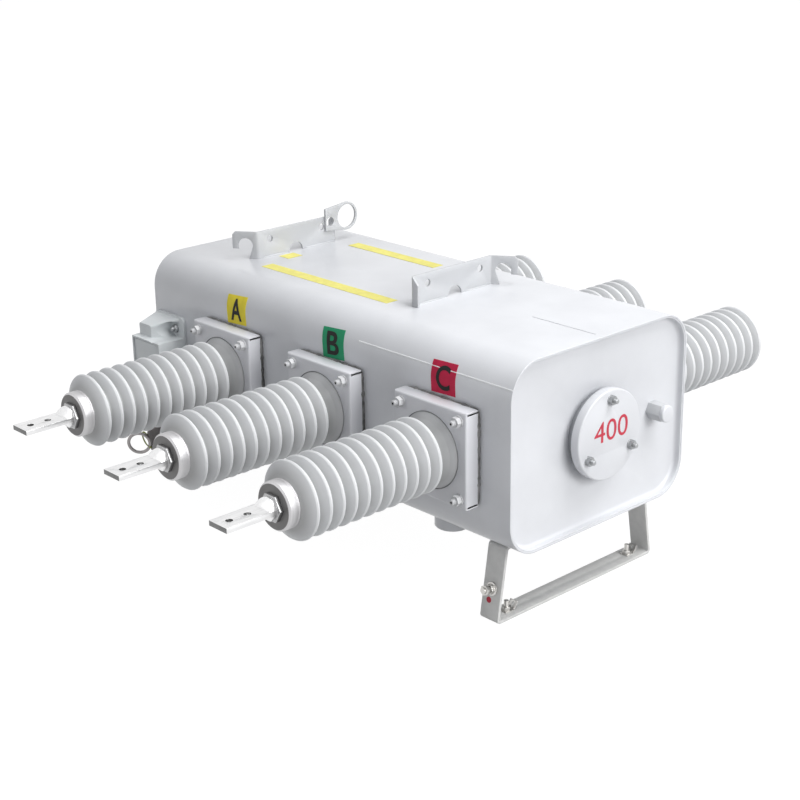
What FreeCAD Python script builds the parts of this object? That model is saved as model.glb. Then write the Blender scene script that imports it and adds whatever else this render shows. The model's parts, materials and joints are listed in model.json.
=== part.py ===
import FreeCAD, Part
import math
import os

from FreeCAD import Vector

# Gas-insulated load break switch: a sealed steel tank with three phases side by side,
# six outdoor bushings, hangers on top, two leg frames and a hook-stick lever at the left end.
# The front bushings end in flat terminals. The rear ones have one shed more and end in a short
# cap with a tapped socket, into which a line terminal is screwed on site.
# Units are millimetres. The model is laid out about the middle phase: x runs along the tank,
# y = 0 is the tank's middle plane, z = 0 is the height of the bushing axes. The last step moves
# everything so that the origin lies under the middle of the whole switch, on the ground.

# Phases and tank
PHASE_PITCH = 330.0
PHASE_NAMES = ("a", "b", "c")
AXIS_HEIGHT = 356.0
TANK_LEFT = 631.0
TANK_RIGHT = 509.0
TANK_HALF_DEPTH = 261.0
TANK_TOP = 202.0
TANK_BOTTOM = 195.0
TANK_CORNER = 74.0
TANK_WALL = 4.0
END_RECESS = 16.0
END_THICKNESS = 5.0
END_LIP = 3.0
END_LIP_SETBACK = 1.0
END_BEND = 8.0

# Bushings, measured along their axes from the tank's middle plane
BUSHING_HOLE_GAP = 1.0
BUSHING_BODY_RADIUS = 60.0
BUSHING_INNER_END = 150.0
BUSHING_TIP_RADIUS = 32.0
BUSHING_TAPER_START = 236.0
BUSHING_FLANGE_RADIUS = 90.0
BUSHING_FLANGE_THICKNESS = 31.0
NECK_RADIUS = 74.0
GASKET_THICKNESS = 4.0
GASKET_RADIUS = 86.0
SHED_COUNT_FRONT = 11
SHED_COUNT_REAR = 12
SHED_FIRST = 341.0
SHED_PITCH = 30.2
SHED_RADIUS = 77.0
SHED_ROOT_RADIUS = 56.0
SHED_RIM = 6.0
SHED_FRONT_RUN = 11.0
SHED_END_RUN = 17.0
FERRULE_LENGTH = 25.0
REAR_CAP_LENGTH = 10.0
FERRULE_RADIUS = 47.0
FERRULE_CHAMFER = 3.5

# Terminals
CONDUCTOR_RADIUS = 15.0
CONDUCTOR_INNER_END = 134.0
LOCK_NUT_FLATS = 50.0
LOCK_NUT_THICKNESS = 8.0
COLLAR_RADIUS = 23.0
COLLAR_LENGTH = 5.0
SHOULDER_LENGTH = 13.0
TERMINAL_END = 808.0
TERMINAL_WIDTH = 51.0
TERMINAL_THICKNESS = 10.0
TERMINAL_HOLE_RADIUS = 7.0
TERMINAL_HOLE_PITCH = 40.0
TERMINAL_HOLE_MARGIN = 25.0
REAR_ROD_PROUD = 2.0
SOCKET_RADIUS = 10.0
SOCKET_DEPTH = 40.0
SOCKET_CHAMFER = 1.5

# Folded plates that clamp the bushings, with their studs
CLAMP_SIZE = 198.0
CLAMP_SHEET = 3.0
CLAMP_FOLD = 32.0
CLAMP_HOLE_RADIUS = 78.5
CLAMP_BEND = 4.0
CLAMP_SLIT = 1.5
CLAMP_STUD_PITCH = 160.0
STUD_RADIUS = 6.0
STUD_HOLE_GAP = 0.6
STUD_END_LENGTH = 9.0
STUD_DIMPLE_RADIUS = 2.5
STUD_DIMPLE_DEPTH = 2.0
STUD_WASHER_RADIUS = 12.0
STUD_WASHER_THICKNESS = 2.5
STUD_NUT_FLATS = 19.0
STUD_NUT_THICKNESS = 10.0

# Round cover and gas fill port on the right end
COVER_RADIUS = 93.5
COVER_RISE = 3.0
COVER_THICKNESS = 19.0
COVER_CHAMFER = 2.0
COVER_GASKET_THICKNESS = 2.0
NECK_RING_RADIUS = 82.0
NECK_RING_BORE = 58.0
NECK_RING_LENGTH = 15.0
COVER_STUD_CIRCLE = 73.5
COVER_STUD_COUNT = 3
COVER_STUD_RADIUS = 5.0
COVER_STUD_END = 8.0
COVER_NUT_FLATS = 17.0
COVER_NUT_THICKNESS = 8.0
COVER_WASHER_RADIUS = 10.0
COVER_WASHER_THICKNESS = 2.0
PORT_INSET = 88.0
PORT_TURN = 30.0
PORT_HEIGHT = 2.0
PORT_FLATS = 34.0
PORT_CAP_RADIUS = 18.0
PORT_BORE = 11.0
PORT_LENGTH = 34.0
PORT_CAP_LENGTH = 10.0
PORT_CAP_CHAMFER = 2.0

# Hangers on the tank's top, each one folded plate
HANGER_LEFT_X = -428.0
HANGER_RIGHT_X = 96.0
HANGER_SHEET = 5.0
HANGER_HEIGHT = 63.0
HANGER_HOOK_BEND_Y = 110.0
HANGER_RETURN_Y = 121.5
HANGER_BEND = 4.0
HOOK_ANGLE = 35.0
HOOK_WIDTH = 59.0
HOOK_SLOT_RADIUS = 17.0
HOOK_SLOT_OFFSET = 28.0
HOOK_SLOT_RISE = 31.0
HOOK_LEG_RISE = 23.0
HOOK_FOOT_WIDTH = 21.0
RETURN_WIDTH = 20.0
RETURN_CHAMFER = 16.0
HOOK_CHAMFER = 7.0
WEB_HOLE_RADIUS = 8.0
WEB_HOLE_Y = 77.0
WEB_HOLE_SHIFT = 1.5
WEB_HOLE_RISE = 41.0
WEB_NOTCH_RADIUS = 20.0
EYE_SHEET = 6.0
EYE_FLANGE_GAP = 0.5
EYE_RISE = 56.0
EYE_RADIUS = 33.5
EYE_HOLE_RADIUS = 28.0
EYE_START_Y = 87.5
EYE_HALF_HEIGHT = 26.0
EYE_SMALL_HOLE_Y = 101.0
EYE_SMALL_HOLE_RISE = 50.5
EYE_SMALL_HOLE_RADIUS = 11.0

# Leg frames, bent from flat bar
LEG_INSET = 78.5
LEG_BAR_WIDTH = 48.0
LEG_BAR_THICKNESS = 6.0
LEG_FOOT_HALF = 238.0
LEG_TOP_HALF = 213.0
LEG_BEND = 3.0
LEG_TAB_END = 150.0
LEG_BOLT_Y = 187.0
LEG_BOLT_RADIUS = 5.0
LEG_BOLT_HEAD_RADIUS = 9.5
LEG_BOLT_LENGTH = 29.0
LEG_NUT_FLATS = 17.0
LEG_NUT_THICKNESS = 8.0
LEG_TONGUE_THICKNESS = 2.0
LEG_TONGUE_WIDTH = 20.0
LEG_TONGUE_BEND = 13.0
LEG_TONGUE_RUN = 18.0
LEG_TONGUE_ANGLE = 55.0
LEG_TONGUE_HOLE = 3.5
EARTH_RISE = 66.0
EARTH_NUT_TURN = 20.0
EARTH_RADIUS = 6.0
EARTH_HEAD_FLATS = 19.0
EARTH_HEAD_THICKNESS = 8.0
EARTH_WASHER_RADIUS = 14.0
EARTH_WASHER_THICKNESS = 3.0
EARTH_LUG_GAP = 5.0
EARTH_TAIL = 3.0

# Control connector on the front wall, near the left end
CONNECTOR_INSET = 5.0
CONNECTOR_WIDTH = 112.0
CONNECTOR_TOP = 75.0
CONNECTOR_HEIGHT = 118.0
CONNECTOR_FLANGE = 7.0
CONNECTOR_CORNER = 14.0
CONNECTOR_DRAFT = 2.0
MOUTH_INSET = 12.0
MOUTH_WIDTH = 106.0
MOUTH_TOP = 30.0
MOUTH_HEIGHT = 66.0
MOUTH_DEPTH = 18.0
MOUTH_WALL = 4.0
MOUTH_OUT = 79.0
MOUTH_RECESS = 12.0
HOOD_INSET = 17.0
HOOD_WIDTH = 46.0
HOOD_TOP = 58.0
HOOD_OUT = 60.0
HOOD_ROOT_WIDTH = 90.0
HOOD_ROOT_TOP = 72.0
HOOD_EDGE = 5.0
CONNECTOR_BOLT_MARGIN = 14.0
CONNECTOR_BOLT_RADIUS = 5.0
CONNECTOR_NUT_FLATS = 17.0
CONNECTOR_NUT_THICKNESS = 8.0
CONNECTOR_BOLT_END = 7.0
SCOOP_RADIUS = 19.0
NUT_POCKET_RADIUS = 13.0
NUT_POCKET_DEPTH = 24.0
CONNECTOR_CAP_DEPTH = 2.0
CONNECTOR_CAP_GAP = 2.0
CABLE_HOLE_RADIUS = 16.0

# Pressure relief housing under the tank
RELIEF_X = 268.0
RELIEF_Y = -176.0
RELIEF_RADIUS = 37.5
RELIEF_DROP = 23.0
RELIEF_CHAMFER = 3.0

# Main shaft with the moving blades
SHAFT_RADIUS = 20.0
JOURNAL_RADIUS = 16.0
JOURNAL_CLEARANCE = 0.05
SHAFT_END_PLAY = 1.0
HUB_RADIUS = 28.0
HUB_SHOULDER_RADIUS = 38.0
HUB_HALF_LENGTH = 30.0
BLADE_THICKNESS = 10.0
BLADE_EYE_RADIUS = 44.0
BLADE_TIP = 112.0
BLADE_WIDTH = 34.0
CONTACT_GAP = 0.4
CONTACT_JAW = 6.0
CONTACT_REACH = 32.0
CONTACT_BLOCK = 16.0
CONTACT_HALF_HEIGHT = 22.0
BEARING_RADIUS = 34.0
BEARING_FLANGE_RADIUS = 50.0
BEARING_FLANGE = 6.0
BEARING_LENGTH = 20.0
OPENING_ANGLE = 50.0

# Operating mechanism and hook-stick lever at the left end
MECH_PLATE = 3.0
MECH_HALF_WIDTH = 130.0
MECH_TOP = 96.0
MECH_BOTTOM = 276.0
MECH_DEPTH = 40.0
MECH_SHEET = 2.5
MECH_CORNER = 14.0
MECH_SCREW_RADIUS = 4.0
MECH_SCREW_HEAD_RADIUS = 7.0
MECH_SCREW_HEAD = 4.0
MECH_LUG = 16.0
MECH_SPACER_RADIUS = 11.0
PIVOT_DROP = 226.0
PIVOT_RADIUS = 12.0
CRANK_RADIUS = 52.0
CRANK_THICKNESS = 8.0
CRANK_HUB_RADIUS = 24.0
CRANK_TIP_RADIUS = 12.0
CRANK_STANDOFF = 10.0
PIN_LINK_RADIUS = 5.0
LINK_CLEARANCE = 0.05
LINK_OPEN_CLEARANCE = 0.4
LINK_THICKNESS = 6.0
LINK_GAP = 2.0
LINK_EYE_RADIUS = 11.0
LINK_WAIST = 14.0
BLOCK_RADIUS = 22.0
BUSH_RADIUS = 19.0
BUSH_FLANGE_RADIUS = 25.0
BUSH_FLANGE = 3.0
LEVER_GAP = 4.0
LEVER_THICKNESS = 8.0
LEVER_REACH = 292.0
LEVER_DROOP = 10.0
LEVER_HUB_RADIUS = 26.0
LEVER_ROOT_WIDTH = 46.0
LEVER_TIP_WIDTH = 58.0
LEVER_TIP_CORNER = 9.0
RING_RADIUS = 26.0
RING_WIRE = 4.0
RING_TURN = 45.0
LEVER_NUT_FLATS = 30.0
LEVER_NUT_THICKNESS = 10.0
LEVER_WASHER_RADIUS = 19.0
LEVER_WASHER_THICKNESS = 2.5
LEVER_SHAFT_END = 3.0

X_AXIS = Vector(1, 0, 0)
Y_AXIS = Vector(0, 1, 0)
Z_AXIS = Vector(0, 0, 1)

# Places worked out from the sizes above
phase_x = [PHASE_PITCH * (number - 1) for number in range(len(PHASE_NAMES))]
end_face_right = TANK_RIGHT - END_RECESS
end_face_left = -(TANK_LEFT - END_RECESS)
gasket_front = TANK_HALF_DEPTH + GASKET_THICKNESS
clamp_inner = gasket_front + BUSHING_FLANGE_THICKNESS
clamp_front = clamp_inner + CLAMP_SHEET
front_end = SHED_FIRST + SHED_PITCH * (SHED_COUNT_FRONT - 1) + SHED_END_RUN
rear_end = SHED_FIRST + SHED_PITCH * (SHED_COUNT_REAR - 1) + SHED_END_RUN
ferrule_front = front_end + FERRULE_LENGTH
rear_rod_end = rear_end + REAR_CAP_LENGTH + REAR_ROD_PROUD
lock_nut_front = ferrule_front + LOCK_NUT_THICKNESS
mech_plate_face = -(TANK_LEFT + MECH_PLATE)
mech_cover_face = mech_plate_face - MECH_DEPTH
crank_face = mech_plate_face - CRANK_STANDOFF - CRANK_THICKNESS
link_back = crank_face - LINK_GAP
link_front = link_back - LINK_THICKNESS
lever_back = mech_cover_face - BUSH_FLANGE - LEVER_GAP
lever_front = lever_back - LEVER_THICKNESS
lever_washer_front = lever_front - LEVER_WASHER_THICKNESS
lever_nut_front = lever_washer_front - LEVER_NUT_THICKNESS
lever_shaft_end = lever_nut_front - LEVER_SHAFT_END
lever_middle = lever_front + LEVER_THICKNESS / 2
ring_offset = RING_RADIUS * math.sin(math.radians(RING_TURN))
eye_centre_y = HANGER_RETURN_Y + HANGER_SHEET / 2 + EYE_FLANGE_GAP + EYE_HOLE_RADIUS
connector_left = CONNECTOR_INSET - TANK_LEFT
mouth_left = MOUTH_INSET - TANK_LEFT
hood_left = HOOD_INSET - TANK_LEFT
switch_left = min(lever_shaft_end, lever_middle - 2 * ring_offset - RING_WIRE)
crank_angle = OPENING_ANGLE / 2
cover_back = end_face_right + NECK_RING_LENGTH + COVER_GASKET_THICKNESS
cover_front = cover_back + COVER_THICKNESS
cover_nut_front = cover_front + COVER_WASHER_THICKNESS + COVER_NUT_THICKNESS
port_front = end_face_right + PORT_LENGTH + PORT_CAP_LENGTH
port_y = TANK_HALF_DEPTH - PORT_INSET
switch_right = max(cover_nut_front + COVER_STUD_END, port_front)
ORIGIN_SHIFT = Vector(
    -(switch_left + switch_right) / 2, (TERMINAL_END - rear_rod_end) / 2, AXIS_HEIGHT
)


def save(node, shapes):
    """Writes one node's solids, moved so that the origin is under the middle of the switch."""
    solids = shapes if isinstance(shapes, list) else [shapes]
    shape = solids[0] if len(solids) == 1 else Part.makeCompound(solids)
    shape = shape.copy()
    shape.translate(ORIGIN_SHIFT)
    shape.exportStep("parts/" + node + ".step")


def cylinder(point, direction, length, radius):
    """A round bar from a point, along a direction."""
    return Part.makeCylinder(radius, length, point, direction)


def block(low, high):
    """A box between two opposite corners."""
    return Part.makeBox(high[0] - low[0], high[1] - low[1], high[2] - low[2], Vector(*low))


def hexagon(point, direction, length, flats, turn=0.0):
    """A hexagonal prism of a given width across flats, from a point along a direction."""
    corners = []
    reach = flats / math.sqrt(3)
    for number in range(7):
        angle = math.radians(60 * number + turn)
        corners.append(Vector(reach * math.cos(angle), reach * math.sin(angle), 0))
    prism = Part.Face(Part.makePolygon(corners)).extrude(Vector(0, 0, length))
    prism.Placement = FreeCAD.Placement(point, FreeCAD.Rotation(Z_AXIS, direction))
    return prism


def rounded_bar(x_low, x_high, half_depth, bottom, top, radius):
    """A bar along the tank with rounded long edges."""
    bar = block((x_low, -half_depth, -bottom), (x_high, half_depth, top))
    long_edges = [edge for edge in bar.Edges if abs(edge.tangentAt(edge.FirstParameter).x) > 0.99]
    return bar.makeFillet(radius, long_edges)


def turned(profile):
    """A solid turned about the Y axis, from (distance along -Y, radius) points."""
    corners = [Vector(radius, -along, 0) for along, radius in profile]
    face = Part.Face(Part.makePolygon(corners + [corners[0]]))
    return face.revolve(Vector(0, 0, 0), Y_AXIS, 360)


def on_phase(shape, x, rear):
    """Places a front piece modelled at x = 0 on one phase, turned round for the rear."""
    placed = shape.copy()
    if rear:
        placed.rotate(Vector(0, 0, 0), Z_AXIS, 180)
    placed.translate(Vector(x, 0, 0))
    return placed


def bent_strip(points, thickness, inner_radius, lift, sweep):
    """A flat strip bent at each inner point of a centre line. lift turns a flat point
    (a, b) into space, and sweep is the strip's width as a vector."""
    half = thickness / 2
    middle = inner_radius + half
    flat = [Vector(a, b, 0) for a, b in points]
    runs = [(flat[i + 1] - flat[i]).normalize() for i in range(len(flat) - 1)]
    normals = [Vector(-run.y, run.x, 0) for run in runs]
    edges = {1: [], -1: []}
    for side in (1, -1):
        start = flat[0] + normals[0] * half * side
        for i in range(1, len(flat) - 1):
            turn = runs[i - 1].getAngle(runs[i])
            way = 1 if runs[i - 1].cross(runs[i]).z > 0 else -1
            setback = middle * math.tan(turn / 2)
            centre = flat[i] - runs[i - 1] * setback + normals[i - 1] * middle * way
            radius = middle - side * way * half
            first = centre - normals[i - 1] * radius * way
            last = centre - normals[i] * radius * way
            top = centre - (normals[i - 1] + normals[i]).normalize() * radius * way
            edges[side].append(Part.LineSegment(lift(start), lift(first)).toShape())
            edges[side].append(Part.Arc(lift(first), lift(top), lift(last)).toShape())
            start = last
        end = flat[-1] + normals[-1] * half * side
        edges[side].append(Part.LineSegment(lift(start), lift(end)).toShape())
    caps = []
    for place, normal in ((flat[0], normals[0]), (flat[-1], normals[-1])):
        ends = (lift(place - normal * half), lift(place + normal * half))
        caps.append(Part.LineSegment(*ends).toShape())
    outline = Part.Wire(Part.__sortEdges__(edges[1] + edges[-1] + caps))
    return Part.Face(outline).extrude(sweep)


def in_tank_section(point):
    """Stands a flat (y, z) point up in the tank's cross section."""
    return Vector(0, point.x, point.y)


def lying(point):
    """Leaves a flat (x, y) point in the horizontal plane."""
    return Vector(point.x, point.y, 0)


def build_tank():
    """The wrapped tank shell with its bushing, connector and relief holes."""
    outer = rounded_bar(-TANK_LEFT, TANK_RIGHT, TANK_HALF_DEPTH, TANK_BOTTOM, TANK_TOP, TANK_CORNER)
    inner = rounded_bar(
        -TANK_LEFT - 1,
        TANK_RIGHT + 1,
        TANK_HALF_DEPTH - TANK_WALL,
        TANK_BOTTOM - TANK_WALL,
        TANK_TOP - TANK_WALL,
        TANK_CORNER - TANK_WALL,
    )
    shell = outer.cut(inner)
    reach = 2 * TANK_HALF_DEPTH + 2
    for x in phase_x:
        start = Vector(x, -TANK_HALF_DEPTH - 1, 0)
        shell = shell.cut(cylinder(start, Y_AXIS, reach, BUSHING_BODY_RADIUS + BUSHING_HOLE_GAP))
    connector_x = mouth_left + MOUTH_WIDTH / 2
    connector_z = MOUTH_TOP - MOUTH_HEIGHT / 2
    cable = Vector(connector_x, -TANK_HALF_DEPTH - 1, connector_z)
    shell = shell.cut(cylinder(cable, Y_AXIS, TANK_WALL + 2, CABLE_HOLE_RADIUS))
    return outer, shell


def build_end_plate(side):
    """A dished end plate whose lip lies inside the tank's rim. side is 1 right, -1 left."""
    rim = TANK_RIGHT if side > 0 else TANK_LEFT
    inside = TANK_WALL
    pan = rounded_bar(
        rim - END_RECESS - END_THICKNESS,
        rim - END_LIP_SETBACK,
        TANK_HALF_DEPTH - inside,
        TANK_BOTTOM - inside,
        TANK_TOP - inside,
        TANK_CORNER - inside,
    )
    inside = TANK_WALL + END_LIP
    floor_x = rim - END_RECESS
    hollow = rounded_bar(
        floor_x,
        rim + 1,
        TANK_HALF_DEPTH - inside,
        TANK_BOTTOM - inside,
        TANK_TOP - inside,
        TANK_CORNER - inside,
    )
    floor_edges = [edge for edge in hollow.Edges if edge.BoundBox.XMax < floor_x + 0.01]
    pan = pan.cut(hollow.makeFillet(END_BEND, floor_edges))
    hole = cylinder(Vector(floor_x - 2 * END_THICKNESS, 0, 0), X_AXIS, 4 * END_THICKNESS, BEARING_RADIUS)
    pan = pan.cut(hole)
    if side < 0:
        pan.rotate(Vector(0, 0, 0), Z_AXIS, 180)
    return pan


def build_bushing(shed_count, end):
    """One moulded bushing with its flange, neck and sheds, facing the front."""
    profile = [
        (BUSHING_INNER_END, CONDUCTOR_RADIUS),
        (BUSHING_INNER_END, BUSHING_TIP_RADIUS),
        (BUSHING_TAPER_START, BUSHING_BODY_RADIUS),
        (gasket_front, BUSHING_BODY_RADIUS),
        (gasket_front, BUSHING_FLANGE_RADIUS),
        (clamp_inner, BUSHING_FLANGE_RADIUS),
        (clamp_inner, NECK_RADIUS),
    ]
    first_root = SHED_FIRST - SHED_PITCH + SHED_RIM / 2 + SHED_FRONT_RUN
    profile.append((first_root - SHED_FRONT_RUN, NECK_RADIUS))
    for number in range(shed_count):
        centre = SHED_FIRST + SHED_PITCH * number
        back_root = centre - SHED_PITCH + SHED_RIM / 2 + SHED_FRONT_RUN
        profile.append((back_root, SHED_ROOT_RADIUS))
        profile.append((centre - SHED_RIM / 2, SHED_RADIUS))
        profile.append((centre + SHED_RIM / 2, SHED_RADIUS))
    profile.append((end, FERRULE_RADIUS))
    profile.append((end, CONDUCTOR_RADIUS))
    return turned(profile)


def build_bushing_gasket():
    """The flat seal between a bushing's flange and the tank wall."""
    outer = cylinder(Vector(0, -TANK_HALF_DEPTH, 0), -Y_AXIS, GASKET_THICKNESS, GASKET_RADIUS)
    inner_radius = BUSHING_BODY_RADIUS + BUSHING_HOLE_GAP
    inner = cylinder(Vector(0, -TANK_HALF_DEPTH, 0), -Y_AXIS, GASKET_THICKNESS, inner_radius)
    return outer.cut(inner)


def build_ferrule(start, length):
    """The metal end cap of a bushing."""
    front = start + length
    return turned([
        (start, CONDUCTOR_RADIUS),
        (start, FERRULE_RADIUS),
        (front - FERRULE_CHAMFER, FERRULE_RADIUS),
        (front, FERRULE_RADIUS - FERRULE_CHAMFER),
        (front, CONDUCTOR_RADIUS),
    ])


def build_lock_nut():
    """The hexagonal nut that pulls the conductor tight against the ferrule."""
    start = Vector(0, -ferrule_front, 0)
    nut = hexagon(start, -Y_AXIS, LOCK_NUT_THICKNESS, LOCK_NUT_FLATS)
    return nut.cut(cylinder(start, -Y_AXIS, LOCK_NUT_THICKNESS, CONDUCTOR_RADIUS))


def build_terminal():
    """The conductor: a rod through the bushing, milled flat outside with two bolt holes."""
    rod = cylinder(
        Vector(0, -CONDUCTOR_INNER_END, 0), -Y_AXIS, lock_nut_front - CONDUCTOR_INNER_END, CONDUCTOR_RADIUS
    )
    collar_front = lock_nut_front + COLLAR_LENGTH
    flat_start = collar_front + SHOULDER_LENGTH
    head = cylinder(Vector(0, -lock_nut_front, 0), -Y_AXIS, COLLAR_LENGTH, COLLAR_RADIUS)
    half = TERMINAL_THICKNESS / 2
    outline = [
        Vector(0, -collar_front, COLLAR_RADIUS),
        Vector(0, -flat_start, half),
        Vector(0, -flat_start, -half),
        Vector(0, -collar_front, -COLLAR_RADIUS),
        Vector(0, -collar_front, COLLAR_RADIUS),
    ]
    wedge = Part.Face(Part.makePolygon(outline)).extrude(Vector(TERMINAL_WIDTH, 0, 0))
    wedge.translate(Vector(-TERMINAL_WIDTH / 2, 0, 0))
    round_stock = cylinder(Vector(0, -collar_front, 0), -Y_AXIS, SHOULDER_LENGTH, COLLAR_RADIUS)
    bar = block(
        (-TERMINAL_WIDTH / 2, -TERMINAL_END, -half), (TERMINAL_WIDTH / 2, -collar_front, half)
    )
    terminal = rod.fuse([head, wedge.common(round_stock), bar]).removeSplitter()
    for number in range(2):
        along = TERMINAL_END - TERMINAL_HOLE_MARGIN - TERMINAL_HOLE_PITCH * number
        hole = cylinder(Vector(0, -along, -half - 1), Z_AXIS, TERMINAL_THICKNESS + 2, TERMINAL_HOLE_RADIUS)
        terminal = terminal.cut(hole)
    return terminal


def build_rear_conductor():
    """A rear conductor: a rod through the bushing with a socket in its outer end."""
    rod = cylinder(
        Vector(0, -CONDUCTOR_INNER_END, 0), -Y_AXIS, rear_rod_end - CONDUCTOR_INNER_END, CONDUCTOR_RADIUS
    )
    socket = cylinder(Vector(0, -rear_rod_end, 0), Y_AXIS, SOCKET_DEPTH, SOCKET_RADIUS)
    mouth = Part.makeCone(
        SOCKET_RADIUS + SOCKET_CHAMFER, SOCKET_RADIUS, SOCKET_CHAMFER, Vector(0, -rear_rod_end, 0), Y_AXIS
    )
    return rod.cut(socket.fuse(mouth))


def build_clamp_plate():
    """A square plate with its four edges folded back, open at the corners."""
    half = CLAMP_SIZE / 2
    fold_end = clamp_front - CLAMP_FOLD
    tray = block((-half, -clamp_front, -half), (half, -fold_end, half))
    front_edges = [edge for edge in tray.Edges if edge.BoundBox.YMax < -clamp_front + 0.01]
    tray = tray.makeFillet(CLAMP_BEND, front_edges)
    inner = half - CLAMP_SHEET
    tray = tray.cut(block((-inner, -clamp_inner, -inner), (inner, -fold_end + 1, inner)))
    for x_side in (-1, 1):
        for z_side in (-1, 1):
            x_near = x_side * inner
            x_far = x_side * (half + 1)
            z_near = z_side * (inner - CLAMP_SLIT)
            z_far = z_side * inner
            low = (min(x_near, x_far), -clamp_front + CLAMP_BEND, min(z_near, z_far))
            high = (max(x_near, x_far), -fold_end + 1, max(z_near, z_far))
            tray = tray.cut(block(low, high))
    tray = tray.cut(cylinder(Vector(0, -clamp_front - 1, 0), Y_AXIS, CLAMP_SHEET + 2, CLAMP_HOLE_RADIUS))
    for x, z in stud_places():
        start = Vector(x, -clamp_front - 1, z)
        tray = tray.cut(cylinder(start, Y_AXIS, CLAMP_SHEET + 2, STUD_RADIUS + STUD_HOLE_GAP))
    return tray


def stud_places():
    """The four corners of the stud square about a bushing."""
    half = CLAMP_STUD_PITCH / 2
    return [(x, z) for x in (-half, half) for z in (-half, half)]


def build_clamp_fasteners():
    """The four studs of one bushing, welded to the tank, with their washers and nuts."""
    pieces = []
    washer_front = clamp_front + STUD_WASHER_THICKNESS
    nut_front = washer_front + STUD_NUT_THICKNESS
    stud_front = nut_front + STUD_END_LENGTH
    for x, z in stud_places():
        root = Vector(x, -TANK_HALF_DEPTH, z)
        stud = cylinder(root, -Y_AXIS, stud_front - TANK_HALF_DEPTH, STUD_RADIUS)
        dimple_start = Vector(x, -stud_front, z)
        stud = stud.cut(cylinder(dimple_start, Y_AXIS, STUD_DIMPLE_DEPTH, STUD_DIMPLE_RADIUS))
        washer = cylinder(Vector(x, -clamp_front, z), -Y_AXIS, STUD_WASHER_THICKNESS, STUD_WASHER_RADIUS)
        nut = hexagon(Vector(x, -washer_front, z), -Y_AXIS, STUD_NUT_THICKNESS, STUD_NUT_FLATS)
        bore = cylinder(root, -Y_AXIS, stud_front - TANK_HALF_DEPTH, STUD_RADIUS)
        pieces += [stud, washer.cut(bore), nut.cut(bore)]
    return pieces


def build_cover_set():
    """Neck ring, seal and round cover over the right shaft bearing, with three studs."""
    ring_end = end_face_right + NECK_RING_LENGTH
    rise = COVER_RISE
    ring = cylinder(Vector(end_face_right, 0, rise), X_AXIS, NECK_RING_LENGTH, NECK_RING_RADIUS)
    bore = cylinder(Vector(end_face_right, 0, rise), X_AXIS, cover_back - end_face_right, NECK_RING_BORE)
    seal = cylinder(Vector(ring_end, 0, rise), X_AXIS, COVER_GASKET_THICKNESS, NECK_RING_RADIUS)
    cover = cylinder(Vector(cover_back, 0, rise), X_AXIS, COVER_THICKNESS, COVER_RADIUS)
    rims = [edge for edge in cover.Edges if edge.BoundBox.XMin > cover_front - 0.01]
    cover = cover.makeChamfer(COVER_CHAMFER, rims)
    ring = ring.cut(bore)
    seal = seal.cut(bore)
    fasteners = []
    stud_length = cover_nut_front + COVER_STUD_END - end_face_right
    washer_front = cover_front + COVER_WASHER_THICKNESS
    for number in range(COVER_STUD_COUNT):
        angle = math.radians(90 + 360 / COVER_STUD_COUNT * number)
        y = COVER_STUD_CIRCLE * math.cos(angle)
        z = rise + COVER_STUD_CIRCLE * math.sin(angle)
        stud = cylinder(Vector(end_face_right, y, z), X_AXIS, stud_length, COVER_STUD_RADIUS)
        washer = cylinder(Vector(cover_front, y, z), X_AXIS, COVER_WASHER_THICKNESS, COVER_WASHER_RADIUS)
        nut = hexagon(Vector(washer_front, y, z), X_AXIS, COVER_NUT_THICKNESS, COVER_NUT_FLATS)
        fasteners += [stud, washer.cut(stud), nut.cut(stud)]
        ring = ring.cut(stud)
        seal = seal.cut(stud)
        cover = cover.cut(stud)
    return ring, seal, cover, fasteners


def build_fill_port():
    """The hexagonal gas filling stub on the right end plate and its screwed cap."""
    start = Vector(end_face_right, port_y, PORT_HEIGHT)
    stub = hexagon(start, X_AXIS, PORT_LENGTH, PORT_FLATS, PORT_TURN)
    stub = stub.cut(cylinder(start, X_AXIS, PORT_LENGTH, PORT_BORE))
    cap_start = start + X_AXIS * PORT_LENGTH
    cap = cylinder(cap_start, X_AXIS, PORT_CAP_LENGTH, PORT_CAP_RADIUS)
    rims = [edge for edge in cap.Edges if edge.BoundBox.XMin > port_front - 0.01]
    cap = cap.makeChamfer(PORT_CAP_CHAMFER, rims)
    return stub, cap


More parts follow.
